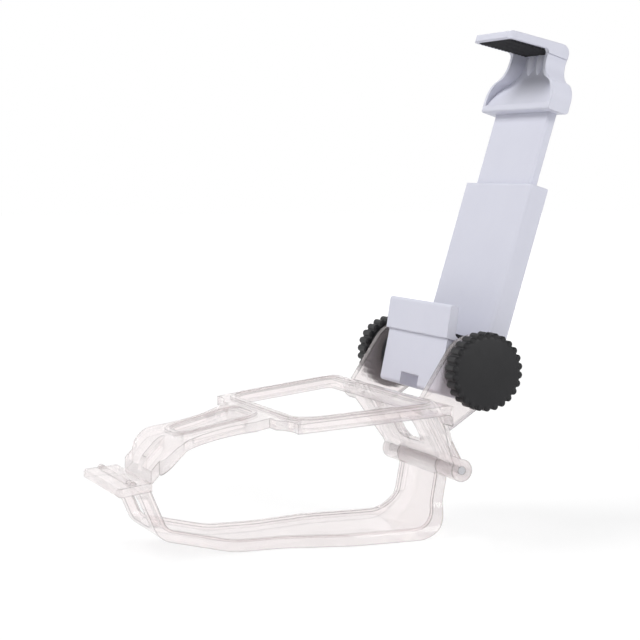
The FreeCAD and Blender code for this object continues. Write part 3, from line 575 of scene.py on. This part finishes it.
def mesh_from(work: bmesh.types.BMesh, name: str) -> bpy.types.Mesh:
    """Turns a working mesh into a closed mesh whose faces look outward.

    Args:
        work: The working mesh, which is freed.
        name: The mesh's name.

    Returns:
        The mesh.
    """
    bmesh.ops.recalc_face_normals(work, faces=work.faces[:])
    mesh = bpy.data.meshes.new(name)
    work.to_mesh(mesh)
    work.free()
    return mesh


def turned_mesh(name: str, profile: Sequence[tuple[float, float]], steps: int) -> bpy.types.Mesh:
    """Turns a profile about Z into a closed mesh, its points always in the same order.

    Args:
        name: The mesh's name.
        profile: Points of radius and height, from the axis and back to it, or a closed
            line whose last point is its first.
        steps: How many steps make a full turn.

    Returns:
        The mesh.
    """
    work = bmesh.new()
    angles = [2 * math.pi * step / steps for step in range(steps)]
    rows: dict[tuple[float, float], list[bmesh.types.BMVert]] = {}
    for radius, height in profile:
        if (radius, height) in rows:
            continue
        if radius == 0:
            rows[radius, height] = [work.verts.new((0, 0, height))] * steps
        else:
            rows[radius, height] = [
                work.verts.new((radius * math.cos(angle), radius * math.sin(angle), height))
                for angle in angles
            ]
    for first, second in zip(profile, profile[1:]):
        low, high = rows[first], rows[second]
        for step in range(steps):
            after = (step + 1) % steps
            corners = (low[step], low[after], high[after], high[step])
            work.faces.new(dict.fromkeys(corners))
    return mesh_from(work, name)


class NodeRecipe(NodeSheet):
    """A Geometry Nodes tree with named inputs, run once on a mesh."""

    def __init__(self, name: str) -> None:
        """Starts a tree that takes and gives geometry.

        Args:
            name: The tree's name.
        """
        super().__init__(bpy.data.node_groups.new(name, "GeometryNodeTree"))
        self.values: dict[str, Any] = {}
        for way in ("INPUT", "OUTPUT"):
            self.tree.interface.new_socket(
                "Geometry", in_out=way, socket_type="NodeSocketGeometry",
            )
        self.start = self.add("NodeGroupInput")
        self.end = self.add("NodeGroupOutput")

    def size(self, name: str, value: float | int) -> Socket:
        """Adds a named input and keeps its value for the run.

        Args:
            name: The input's name.
            value: Its value.

        Returns:
            The output of the input node that carries it.
        """
        kind = "NodeSocketInt" if isinstance(value, int) else "NodeSocketFloat"
        socket = self.tree.interface.new_socket(name, in_out="INPUT", socket_type=kind)
        self.values[socket.identifier] = value
        return self.start.outputs[name]

    def vector(self, x: Any = 0.0, y: Any = 0.0, z: Any = 0.0) -> Socket:
        """Joins three numbers into a vector.

        Args:
            x: A socket or a number.
            y: A socket or a number.
            z: A socket or a number.

        Returns:
            The vector.
        """
        return self.add("ShaderNodeCombineXYZ", {"X": x, "Y": y, "Z": z}).outputs[0]

    def shape(self, kind: str, **inputs: Any) -> Socket:
        """Adds a plain mesh.

        Args:
            kind: The end of the node's type name, such as Cube.
            **inputs: The node's inputs, with underscores for spaces.

        Returns:
            The mesh.
        """
        fed: Inputs = {key.replace("_", " "): value for key, value in inputs.items()}
        return self.add(f"GeometryNodeMesh{kind}", fed).outputs["Mesh"]

    def moved(self, geometry: Socket, offset: Socket) -> Socket:
        """Moves geometry by a vector."""
        node = self.add("GeometryNodeTransform", {"Geometry": geometry, "Translation": offset})
        return node.outputs["Geometry"]

    def merged(self, parts: Sequence[Socket]) -> Socket:
        """Joins several geometries into one."""
        node = self.add("GeometryNodeJoinGeometry")
        for part in parts:
            self.feed(node, {"Geometry": part})
        return node.outputs["Geometry"]

    def copies(self, points: Socket, geometry: Socket) -> Socket:
        """Puts a copy of a geometry on every point."""
        node = self.add("GeometryNodeInstanceOnPoints", {"Points": points, "Instance": geometry})
        return node.outputs["Instances"]

    def close(self, geometry: Socket, material: bpy.types.Material) -> None:
        """Ends the tree with real geometry in one finish.

        Args:
            geometry: What the tree has made.
            material: The finish.
        """
        real = self.add("GeometryNodeRealizeInstances", {"Geometry": geometry})
        dressed = self.add("GeometryNodeSetMaterial", {
            "Geometry": real.outputs["Geometry"], "Material": material,
        })
        self.feed(self.end, {"Geometry": dressed.outputs["Geometry"]})

    def run(self, name: str, mesh: bpy.types.Mesh, place: Matrix) -> bpy.types.Object:
        """Runs the tree on a mesh and keeps the result as a plain piece.

        Args:
            name: The piece's name.
            mesh: The mesh that the tree starts from.
            place: Where the finished mesh is put.

        Returns:
            The piece, at the origin with its place in its mesh.
        """
        carrier = in_scene(f"{name}_carrier", mesh)
        modifier = carrier.modifiers.new(self.tree.name, "NODES")
        modifier.node_group = self.tree
        for identifier, value in self.values.items():
            modifier[identifier] = value
        bpy.context.view_layer.update()
        evaluated = carrier.evaluated_get(bpy.context.evaluated_depsgraph_get())
        result = bpy.data.meshes.new_from_object(evaluated)
        carrier.modifiers.clear()
        bpy.data.objects.remove(carrier)
        result.name = name
        result.transform(place)
        shade_by_angle(result)
        return in_scene(name, result)


@dataclass(frozen=True)
class TurnedPlace:
    """Where a round piece on the knob axis stands, read from the plain one.

    Attributes:
        matrix: The turn and the move to its inner face.
        radius: Its outer radius.
        thickness: Its thickness along the axis.
    """

    matrix: Matrix
    radius: float
    thickness: float

    @classmethod
    def of(cls, node: str, outward: float) -> "TurnedPlace":
        """Reads the place of a plain round piece.

        Args:
            node: The plain piece's name.
            outward: 1 if the piece points to the right, -1 if to the left.

        Returns:
            The place of its inner face, with its radius and its thickness.
        """
        low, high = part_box(node)
        middle = (low + high) / 2
        inner = low.x if outward > 0 else high.x
        turn = Matrix.Rotation(QUARTER_TURN * outward, 4, "Y")
        matrix = Matrix.Translation((inner, middle.y, middle.z)) @ turn
        return cls(matrix, (high.y - low.y) / 2, high.x - low.x)


@dataclass
class ToothedKnob:
    """A black knob with close round teeth and a flat face with a soft rim."""

    node: str
    body: Body
    outward: float
    teeth: int = 26
    tooth_sides: int = 14
    tooth_radius: float = 0.95 * MM
    core_share: float = 0.925
    collar: float = 1.0 * MM
    collar_radius: float = 8.4 * MM
    edge: float = 0.45 * MM
    face_step: float = 0.12 * MM
    pocket_radius: float = 4.1 * MM
    pocket_depth: float = 4.6 * MM
    steps: int = 96

    def core(self, radius: float, thickness: float) -> bpy.types.Mesh:
        """Makes the turned core that the teeth stand on.

        Args:
            radius: The knob's radius over its teeth.
            thickness: Its whole thickness with the collar.

        Returns:
            The core's mesh.
        """
        rim = radius * self.core_share
        profile = [
            (0, self.pocket_depth),
            (self.pocket_radius, self.pocket_depth),
            (self.pocket_radius, 0),
            (self.collar_radius, 0),
            (self.collar_radius, self.collar),
            (rim - self.edge, self.collar),
            (rim, self.collar + self.edge),
            (rim, thickness - self.edge),
            (rim - self.edge, thickness - self.face_step),
            (rim - 2 * self.edge, thickness),
            (0, thickness),
        ]
        return turned_mesh(f"{self.node}_core", profile, self.steps)

    def build(self, finishes: Finishes) -> bpy.types.Object:
        """Makes the knob, dresses it and sets it over the plain one.

        Args:
            finishes: The clip's finishes.

        Returns:
            The finished knob.
        """
        place = TurnedPlace.of(self.node, self.outward)
        recipe = NodeRecipe(f"{self.node}_teeth")
        count = recipe.size("Teeth", self.teeth)
        sides = recipe.size("Tooth sides", self.tooth_sides)
        reach = recipe.size("Radius over teeth", place.radius)
        tooth = recipe.size("Tooth radius", self.tooth_radius)
        low = recipe.size("First height", self.collar)
        high = recipe.size("Last height", place.thickness)
        edge = recipe.size("Edge", self.edge)
        length = recipe.maths("SUBTRACT", high, low)
        straight = recipe.maths("SUBTRACT", length, recipe.maths("MULTIPLY", edge, 2.0))
        slim = recipe.maths("SUBTRACT", tooth, edge)
        half = recipe.maths("MULTIPLY", straight, 0.5)
        drop = recipe.maths("MULTIPLY", recipe.maths("ADD", half, edge), -1.0)
        bar = recipe.shape("Cylinder", Vertices=sides, Radius=tooth, Depth=straight)
        foot = recipe.shape(
            "Cone", Vertices=sides, Radius_Top=tooth, Radius_Bottom=slim, Depth=edge,
        )
        head = recipe.shape(
            "Cone", Vertices=sides, Radius_Top=slim, Radius_Bottom=tooth, Depth=edge,
        )
        whole = recipe.merged([
            bar,
            recipe.moved(head, recipe.vector(z=half)),
            recipe.moved(foot, recipe.vector(z=drop)),
        ])
        ring = recipe.shape(
            "Circle", Vertices=count, Radius=recipe.maths("SUBTRACT", reach, tooth),
        )
        middle = recipe.maths("MULTIPLY", recipe.maths("ADD", low, high), 0.5)
        teeth = recipe.copies(recipe.moved(ring, recipe.vector(z=middle)), whole)
        recipe.close(
            recipe.merged([recipe.start.outputs["Geometry"], teeth]), finishes.by_slot[Slot.BLACK],
        )
        core = self.core(place.radius, place.thickness)
        piece = recipe.run(f"{self.node}_moulded", core, place.matrix)
        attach(piece, self.body.value)
        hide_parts(self.node)
        LOG.info("%s: %d teeth, %d faces", piece.name, self.teeth, len(piece.data.polygons))
        return piece


@dataclass(frozen=True)
class ClampPlace:
    """Where the leaning clamp stands: its own axes meet the knob axis."""

    axis_y: float = 35.4 * MM
    axis_z: float = 44.4 * MM
    lean: float = math.radians(17)

    def matrix(self) -> Matrix:
        """Gives the turn and the move from the clamp's own axes to the object's."""
        turn = Matrix.Rotation(-self.lean, 4, "X")
        return Matrix.Translation((0, self.axis_y, self.axis_z)) @ turn

    def backward(self, y: float, z: float) -> Matrix:
        """Gives the place of something that is drawn along Z and points out of the back.

        Args:
            y: Its root along the clamp's depth.
            z: Its height along the clamp.

        Returns:
            The place.
        """
        turn = Matrix.Rotation(-QUARTER_TURN, 4, "X")
        return self.matrix() @ Matrix.Translation((0, y, z)) @ turn


@dataclass
class ScrewPair:
    """Two steel pan head screws with a cross recess, side by side in the clamp's back."""

    node: str
    body: Body
    half_spread: float
    height: float
    face: float
    length: float
    head_radius: float = 1.9 * MM
    head: float = 1.0 * MM
    head_edge: float = 0.1 * MM
    dome: float = 0.35 * MM
    dome_shares: tuple[float, ...] = (0.0, 0.35, 0.6, 0.8, 0.92, 1.0)
    shank_radius: float = 1.0 * MM
    shank_edge: float = 0.3 * MM
    recess_length: float = 2.3 * MM
    recess_width: float = 0.5 * MM
    recess_depth: float = 0.55 * MM
    steps: int = 40

    def blank(self) -> bpy.types.Mesh:
        """Makes one screw without its recess, its head's top at height 0.

        Returns:
            The screw's mesh.
        """
        profile: list[tuple[float, float]] = []
        for share in self.dome_shares:
            angle = share * QUARTER_TURN
            fall = self.dome * (1 - math.cos(angle))
            profile.append((self.head_radius * math.sin(angle), -fall))
        profile += [
            (self.head_radius, -self.head + self.head_edge),
            (self.head_radius - self.head_edge, -self.head),
            (self.shank_radius, -self.head),
            (self.shank_radius, -self.length + self.shank_edge),
            (self.shank_radius - self.shank_edge, -self.length),
            (0, -self.length),
        ]
        return turned_mesh(f"{self.node}_blank", profile[::-1], self.steps)

    def build(self, finishes: Finishes) -> bpy.types.Object:
        """Cuts the recess, sets both screws in place and dresses them.

        Args:
            finishes: The clip's finishes.

        Returns:
            The two screws as one piece.
        """
        recipe = NodeRecipe(f"{self.node}_pair")
        spread = recipe.size("Half spread", self.half_spread)
        long = recipe.size("Recess length", self.recess_length)
        narrow = recipe.size("Recess width", self.recess_width)
        deep = recipe.size("Recess depth", self.recess_depth)
        tall = recipe.maths("MULTIPLY", deep, 2.0)
        start = recipe.start.outputs["Geometry"]
        cut = recipe.add(
            "GeometryNodeMeshBoolean", {"Mesh 1": start}, operation="DIFFERENCE", solver="EXACT",
        )
        for size in (recipe.vector(long, narrow, tall), recipe.vector(narrow, long, tall)):
            recipe.feed(cut, {"Mesh 2": recipe.shape("Cube", Size=size)})
        places = recipe.shape(
            "Line", Count=2,
            Start_Location=recipe.vector(x=recipe.maths("MULTIPLY", spread, -1.0)),
            Offset=recipe.vector(x=recipe.maths("MULTIPLY", spread, 2.0)),
        )
        both = recipe.copies(places, cut.outputs["Mesh"])
        recipe.close(both, finishes.by_slot[Slot.STEEL])
        place = ClampPlace().backward(self.face, self.height)
        piece = recipe.run(f"{self.node}_cross_recessed", self.blank(), place)
        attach(piece, self.body.value)
        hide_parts(self.node)
        LOG.info("%s: %d faces", piece.name, len(piece.data.polygons))
        return piece


@dataclass
class GripRibs:
    """The swelling ribs between the jaw's flutes, under the hook."""

    ribs: int = 3
    pitch: float = 4.8 * MM
    half_width: float = 1.5 * MM
    height: float = 1.2 * MM
    half_length: float = 3.8 * MM
    wall_y: float = 6.2 * MM
    middle_z: float = 84.8 * MM
    segments: int = 32
    rings: int = 24

    def build(self, finishes: Finishes) -> bpy.types.Object:
        """Makes the ribs on the back wall of the jaw's hollow and dresses them.

        Args:
            finishes: The clip's finishes.

        Returns:
            The ribs as one piece.
        """
        recipe = NodeRecipe("grip_ribs")
        count = recipe.size("Ribs", self.ribs)
        pitch = recipe.size("Pitch", self.pitch)
        stretch = recipe.vector(
            recipe.size("Half width", self.half_width),
            recipe.size("Height", self.height),
            recipe.size("Half length", self.half_length),
        )
        ball = recipe.shape("UVSphere", Segments=self.segments, Rings=self.rings, Radius=1.0)
        rib = recipe.add("GeometryNodeTransform", {"Geometry": ball, "Scale": stretch})
        reach = recipe.maths("MULTIPLY", pitch, recipe.maths("SUBTRACT", count, 1.0))
        places = recipe.shape(
            "Line", Count=count,
            Start_Location=recipe.vector(x=recipe.maths("MULTIPLY", reach, -0.5)),
            Offset=recipe.vector(x=pitch),
        )
        row = recipe.copies(places, rib.outputs["Geometry"])
        recipe.close(row, finishes.by_slot[Slot.PALE])
        place = ClampPlace().matrix() @ Matrix.Translation((0, self.wall_y, self.middle_z))
        piece = recipe.run("jaw_grip_ribs", bpy.data.meshes.new("jaw_grip_ribs_start"), place)
        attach(piece, Body.JAW.value)
        LOG.info("%s: %d ribs, %d faces", piece.name, self.ribs, len(piece.data.polygons))
        return piece


@dataclass
class RibbedPad:
    """A soft rubber pad: a slab with rounded edges and close round ribs across its face.

    Sizes are in the clamp's own axes. The ribs stand on the face at height level, and
    point up for a pad that lies on a shelf, or down for one that hangs under a hook.
    """

    node: str
    body: Body
    half: float
    near: float
    far: float
    level: float
    back: float
    ribs: int
    rib_radius: float = 0.3 * MM
    rib_sides: int = 12
    rib_margin: float = 0.9 * MM
    corner: float = 1.0 * MM
    corner_steps: int = 6
    edge: float = 0.18 * MM
    edge_steps: int = 2
    pivot_y: float = 0.0
    pivot_z: float = 0.0
    pivot_turn: float = 0.0

    def outline(self) -> list[tuple[float, float]]:
        """Draws the slab from above, with its two near corners rounded.

        Returns:
            The outline's points.
        """
        points = [(self.half, self.far)]
        for side in (1, -1):
            start = 0.0 if side > 0 else -QUARTER_TURN
            for step in range(self.corner_steps + 1):
                angle = start - step * QUARTER_TURN / self.corner_steps
                points.append((
                    side * (self.half - self.corner) + self.corner * math.cos(angle),
                    self.near + self.corner + self.corner * math.sin(angle),
                ))
        points.append((-self.half, self.far))
        return points

    def slab(self) -> bpy.types.Mesh:
        """Makes the slab with rounded corners and edges.

        Returns:
            The slab's mesh.
        """
        outline = self.outline()
        work = bmesh.new()
        face, back = (
            [work.verts.new((x, y, z)) for x, y in outline] for z in (self.level, self.back)
        )
        work.faces.new(face)
        work.faces.new(back[::-1])
        for i in range(len(outline)):
            after = (i + 1) % len(outline)
            work.faces.new((face[i], face[after], back[after], back[i]))
        rims = [edge for edge in work.edges if edge.verts[0].co.z == edge.verts[1].co.z]
        bmesh.ops.bevel(
            work, geom=rims, offset=self.edge, segments=self.edge_steps, affect="EDGES",
        )
        return mesh_from(work, f"{self.node}_slab")

    def build(self, finishes: Finishes) -> bpy.types.Object:
        """Makes the slab and its ribs, dresses them and sets them over the plain pad.

        Args:
            finishes: The clip's finishes.

        Returns:
            The finished pad.
        """
        recipe = NodeRecipe(f"{self.node}_ribs")
        count = recipe.size("Ribs", self.ribs)
        near = recipe.size("First rib", self.near + self.rib_margin)
        far = recipe.size("Last rib", self.far - self.rib_margin)
        half = recipe.size("Half length", self.half - self.rib_margin)
        radius = recipe.size("Rib radius", self.rib_radius)
        level = recipe.size("Face height", self.level)
        line = recipe.add("GeometryNodeCurvePrimitiveLine", {
            "Start": recipe.vector(x=recipe.maths("MULTIPLY", half, -1.0)),
            "End": recipe.vector(x=half),
        })
        round_profile = recipe.add("GeometryNodeCurvePrimitiveCircle", {
            "Resolution": self.rib_sides, "Radius": radius,
        })
        rib = recipe.add("GeometryNodeCurveToMesh", {
            "Curve": line.outputs["Curve"], "Profile Curve": round_profile.outputs["Curve"],
            "Fill Caps": True,
        })
        depth = recipe.maths("SUBTRACT", far, near)
        pitch = recipe.maths("DIVIDE", depth, recipe.maths("SUBTRACT", count, 1.0))
        places = recipe.shape(
            "Line", Count=count,
            Start_Location=recipe.vector(y=near, z=level),
            Offset=recipe.vector(y=pitch),
        )
        rows = recipe.copies(places, rib.outputs["Mesh"])
        recipe.close(
            recipe.merged([recipe.start.outputs["Geometry"], rows]), finishes.by_slot[Slot.RUBBER],
        )
        pivot = Matrix.Translation((0, self.pivot_y, self.pivot_z))
        turn = pivot @ Matrix.Rotation(self.pivot_turn, 4, "X") @ pivot.inverted()
        piece = recipe.run(f"{self.node}_ribbed", self.slab(), ClampPlace().matrix() @ turn)
        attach(piece, self.body.value)
        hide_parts(self.node)
        LOG.info("%s: %d ribs, %d faces", piece.name, self.ribs, len(piece.data.polygons))
        return piece


@dataclass
class GroovedRing:
    """A dark friction ring between the clamp's side and an ear, with grooves round its rim."""

    node: str
    outward: float
    bore: float = 2.08 * MM
    edge: float = 0.25 * MM
    groove: float = 0.3 * MM
    groove_foot: float = 0.1 * MM
    groove_depth: float = 0.25 * MM
    grooves: int = 2
    steps: int = 72

    def profile(self, radius: float, wall: float) -> list[tuple[float, float]]:
        """Draws the ring's section, with its bore, its rim and the grooves in the rim.

        Args:
            radius: The ring's outer radius.
            wall: Its thickness.

        Returns:
            The closed profile of radius and height.
        """
        floor = radius - self.groove_depth
        rim = [(radius - self.edge, 0.0), (radius, self.edge)]
        for number in range(self.grooves):
            centre = wall * (number + 1) / (self.grooves + 1)
            rim += [
                (radius, centre - self.groove), (floor, centre - self.groove_foot),
                (floor, centre + self.groove_foot), (radius, centre + self.groove),
            ]
        rim += [(radius, wall - self.edge), (radius - self.edge, wall)]
        return [(self.bore, wall), (self.bore, 0.0), *rim, (self.bore, wall)]

    def build(self, finishes: Finishes) -> bpy.types.Object:
        """Turns the ring, dresses it and sets it over the plain one.

        Args:
            finishes: The clip's finishes.

        Returns:
            The finished ring.
        """
        place = TurnedPlace.of(self.node, self.outward)
        profile = self.profile(place.radius, place.thickness)
        mesh = turned_mesh(f"{self.node}_grooved", profile, self.steps)
        mesh.transform(place.matrix)
        shade_by_angle(mesh)
        piece = in_scene(f"{self.node}_grooved", mesh)
        finishes.dress(piece, Slot.RUBBER)
        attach(piece, Body.CLAMP.value)
        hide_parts(self.node)
        LOG.info("%s: %d faces", piece.name, len(piece.data.polygons))
        return piece


@dataclass
class KeptNodes:
    """The pieces whose plain shape is right and which only get their finish."""

    clear: tuple[str, ...] = ("cradle_frame", "strap")
    pale: tuple[str, ...] = ("clamp_housing", "clamp_cover", "slider_plate", "upper_jaw")
    black: tuple[str, ...] = ("slider_stop",)
    steel: tuple[str, ...] = (
        "hinge_pin", "washer_right", "washer_left", "cross_bolt", "knob_nut", "leaf_spring",
    )

    def build(self, finishes: Finishes) -> None:
        """Dresses every kept piece.

        Args:
            finishes: The clip's finishes.
        """
        groups = {
            Slot.CLEAR: self.clear, Slot.PALE: self.pale,
            Slot.BLACK: self.black, Slot.STEEL: self.steel,
        }
        for slot, names in groups.items():
            for name in names:
                finishes.dress(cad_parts[name], slot)
                LOG.info("%s: %s", name, slot.value)


@dataclass(frozen=True)
class Lamp:
    """A square soft lamp that faces the clip."""

    name: str
    place: Place
    side: float
    power_watts: float
    aim: Place = (0, 0, 0.06)

    def hang(self) -> None:
        """Hangs the lamp in the scene."""
        data = bpy.data.lights.new(self.name, "AREA")
        data.size = self.side
        data.energy = self.power_watts
        way = Vector(self.aim) - Vector(self.place)
        turn = way.to_track_quat("-Z", "Y").to_matrix().to_4x4()
        in_scene(self.name, data).matrix_world = Matrix.Translation(self.place) @ turn


@dataclass
class Studio:
    """A pale floor, soft light and the camera at the photograph's angle.

    Attributes:
        azimuth: The camera's side, 0 from the front and a quarter turn from the right.
        elevation: How far it looks down.
        roll: How far it leans to one side.
        eye: Where it stands.
        lens_mm: Its focal length.
        sensor_mm: The width of its sensor.
        near_clip: Nothing nearer than this is drawn.
        far_clip: Nothing farther than this is drawn.
        floor_half: Half the floor's side.
        floor_gap: How far the floor lies under the clip.
        floor_shade: The floor's own colour.
        floor_white: The share of the seen floor that glows instead of taking light.
        floor_level: The strength of that glow near the clip.
        far_floor_level: Its strength far from the clip.
        lit_reach: Where the glow starts to grow.
        far_reach: Where it has grown in full.
        room_level: The strength of the room's light.
        dark_level: The strength of the room overhead where it is seen directly.
        dimming_from: The height of direction from which the seen room gets darker.
        dimming_to: The height of direction where it is darkest.
        lamps: The lamps.
    """

    azimuth: float = math.radians(67.09)
    elevation: float = math.radians(4.87)
    roll: float = math.radians(0.24)
    eye: Place = (0.4197, -0.1754, 0.0950)
    lens_mm: float = 100.05
    sensor_mm: float = 36.0
    near_clip: float = 0.01
    far_clip: float = 20.0
    floor_half: float = 3.0
    floor_gap: float = 0.1 * MM
    floor_shade: Colour = (0.8, 0.8, 0.8)
    floor_white: float = 0.7
    floor_level: float = 1.12
    far_floor_level: float = 1.42
    lit_reach: float = 0.2
    far_reach: float = 0.8
    room_level: float = 0.36
    dark_level: float = 0.1
    dimming_from: float = 0.35
    dimming_to: float = 0.8
    lamps: tuple[Lamp, ...] = (
        Lamp("key", (-0.15, -0.55, 0.9), 0.5, 6.8),
        Lamp("side", (0.9, 0.45, 0.6), 0.6, 5.6),
    )

    def camera(self) -> None:
        """Sets the camera where the photograph was taken from."""
        toward_eye = Vector((
            math.sin(self.azimuth) * math.cos(self.elevation),
            -math.cos(self.azimuth) * math.cos(self.elevation),
            math.sin(self.elevation),
        ))
        right = Vector((math.cos(self.azimuth), math.sin(self.azimuth), 0))
        up = toward_eye.cross(right)
        rolled_right = right * math.cos(self.roll) + up * math.sin(self.roll)
        rolled_up = up * math.cos(self.roll) - right * math.sin(self.roll)
        data = bpy.data.cameras.new("camera")
        data.lens = self.lens_mm
        data.sensor_width = self.sensor_mm
        data.clip_start = self.near_clip
        data.clip_end = self.far_clip
        camera = in_scene("camera", data)
        turn = Matrix((rolled_right, rolled_up, toward_eye)).transposed().to_4x4()
        camera.matrix_world = Matrix.Translation(self.eye) @ turn
        bpy.context.scene.camera = camera

    def floor_material(self) -> bpy.types.Material:
        """Makes the floor's finish: matt in shade and light, and white where seen far off.

        Returns:
            The material.
        """
        material = bpy.data.materials.new("floor")
        material.use_nodes = True
        sheet = NodeSheet(material.node_tree)
        sheet.tree.nodes.clear()
        matt = sheet.add("ShaderNodeBsdfDiffuse", {"Color": (*self.floor_shade, 1)})
        way = sheet.add("ShaderNodeTexCoord").outputs["Object"]
        reach = sheet.add("ShaderNodeVectorMath", {0: way}, operation="LENGTH").outputs["Value"]
        level = sheet.mapped(
            reach, self.lit_reach, self.far_reach, self.floor_level, self.far_floor_level,
        )
        white = sheet.add("ShaderNodeEmission", {"Strength": level})
        share = sheet.maths("MULTIPLY", sheet.seen_directly(), self.floor_white)
        mix = sheet.add("ShaderNodeMixShader", {
            "Fac": share, 1: matt.outputs[0], 2: white.outputs[0],
        })
        sheet.add("ShaderNodeOutputMaterial", {"Surface": mix.outputs[0]})
        return material

    def floor(self) -> None:
        """Lays a pale floor just under the clip that keeps a soft shadow."""
        size = self.floor_half
        level = CAD_BOX[0][2] - self.floor_gap
        corners = [(x * size, y * size, level) for x, y in ((-1, -1), (1, -1), (1, 1), (-1, 1))]
        mesh = bpy.data.meshes.new("floor")
        mesh.from_pydata(corners, [], [(0, 1, 2, 3)])
        mesh.materials.append(self.floor_material())
        floor = in_scene("floor", mesh)

    def room(self) -> None:
        """Makes the world a soft even light that looks white behind the clip."""
        world = bpy.data.worlds.new("room")
        bpy.context.scene.world = world
        world.use_nodes = True
        sheet = NodeSheet(world.node_tree)
        way = sheet.add("ShaderNodeTexCoord").outputs["Generated"]
        height = sheet.add("ShaderNodeSeparateXYZ", {0: way}).outputs["Z"]
        bright = sheet.mapped(height, self.dimming_from, self.dimming_to, 1.0, self.dark_level)
        level = sheet.mapped(sheet.seen_directly(), 0.0, 1.0, self.room_level, bright)
        sheet.feed(sheet.tree.nodes["Background"], {"Color": (1, 1, 1, 1), "Strength": level})

    def build(self) -> None:
        """Sets the view, the floor, the room, the lamps and the camera."""
        bpy.context.scene.view_settings.view_transform = "Standard"
        self.floor()
        self.room()
        for lamp in self.lamps:
            lamp.hang()
        self.camera()
        LOG.info("studio and camera are set")


def main() -> None:
    """Dresses the clip, adds its fine pieces and sets the studio."""
    logging.basicConfig(level=logging.INFO, format="%(name)s: %(message)s")
    finishes = Finishes()
    KeptNodes().build(finishes)
    ToothedKnob("knob_right", Body.RIGHT_KNOB, outward=1.0).build(finishes)
    ToothedKnob("knob_left", Body.LEFT_KNOB, outward=-1.0).build(finishes)
    ScrewPair(
        "cover_screws", Body.CLAMP, half_spread=13.2 * MM, height=-1.2 * MM,
        face=8.8 * MM, length=4.2 * MM,
    ).build(finishes)
    ScrewPair(
        "jaw_screws", Body.JAW, half_spread=8.5 * MM, height=72.6 * MM,
        face=8.5 * MM, length=3.0 * MM,
    ).build(finishes)
    GripRibs().build(finishes)
    RibbedPad(
        "shelf_pad", Body.CLAMP, half=15.9 * MM, near=-4.7 * MM, far=2.0 * MM,
        level=7.35 * MM, back=6.5 * MM, ribs=7,
    ).build(finishes)
    RibbedPad(
        "jaw_pad", Body.JAW, half=9.15 * MM, near=-9.15 * MM, far=6.15 * MM,
        level=85.25 * MM, back=86.5 * MM, ribs=14,
        pivot_y=-10.3 * MM, pivot_z=85.3 * MM, pivot_turn=math.radians(5),
    ).build(finishes)
    GroovedRing("friction_ring_right", outward=1.0).build(finishes)
    GroovedRing("friction_ring_left", outward=-1.0).build(finishes)
    Studio().build()


if __name__ == "__main__":
    main()
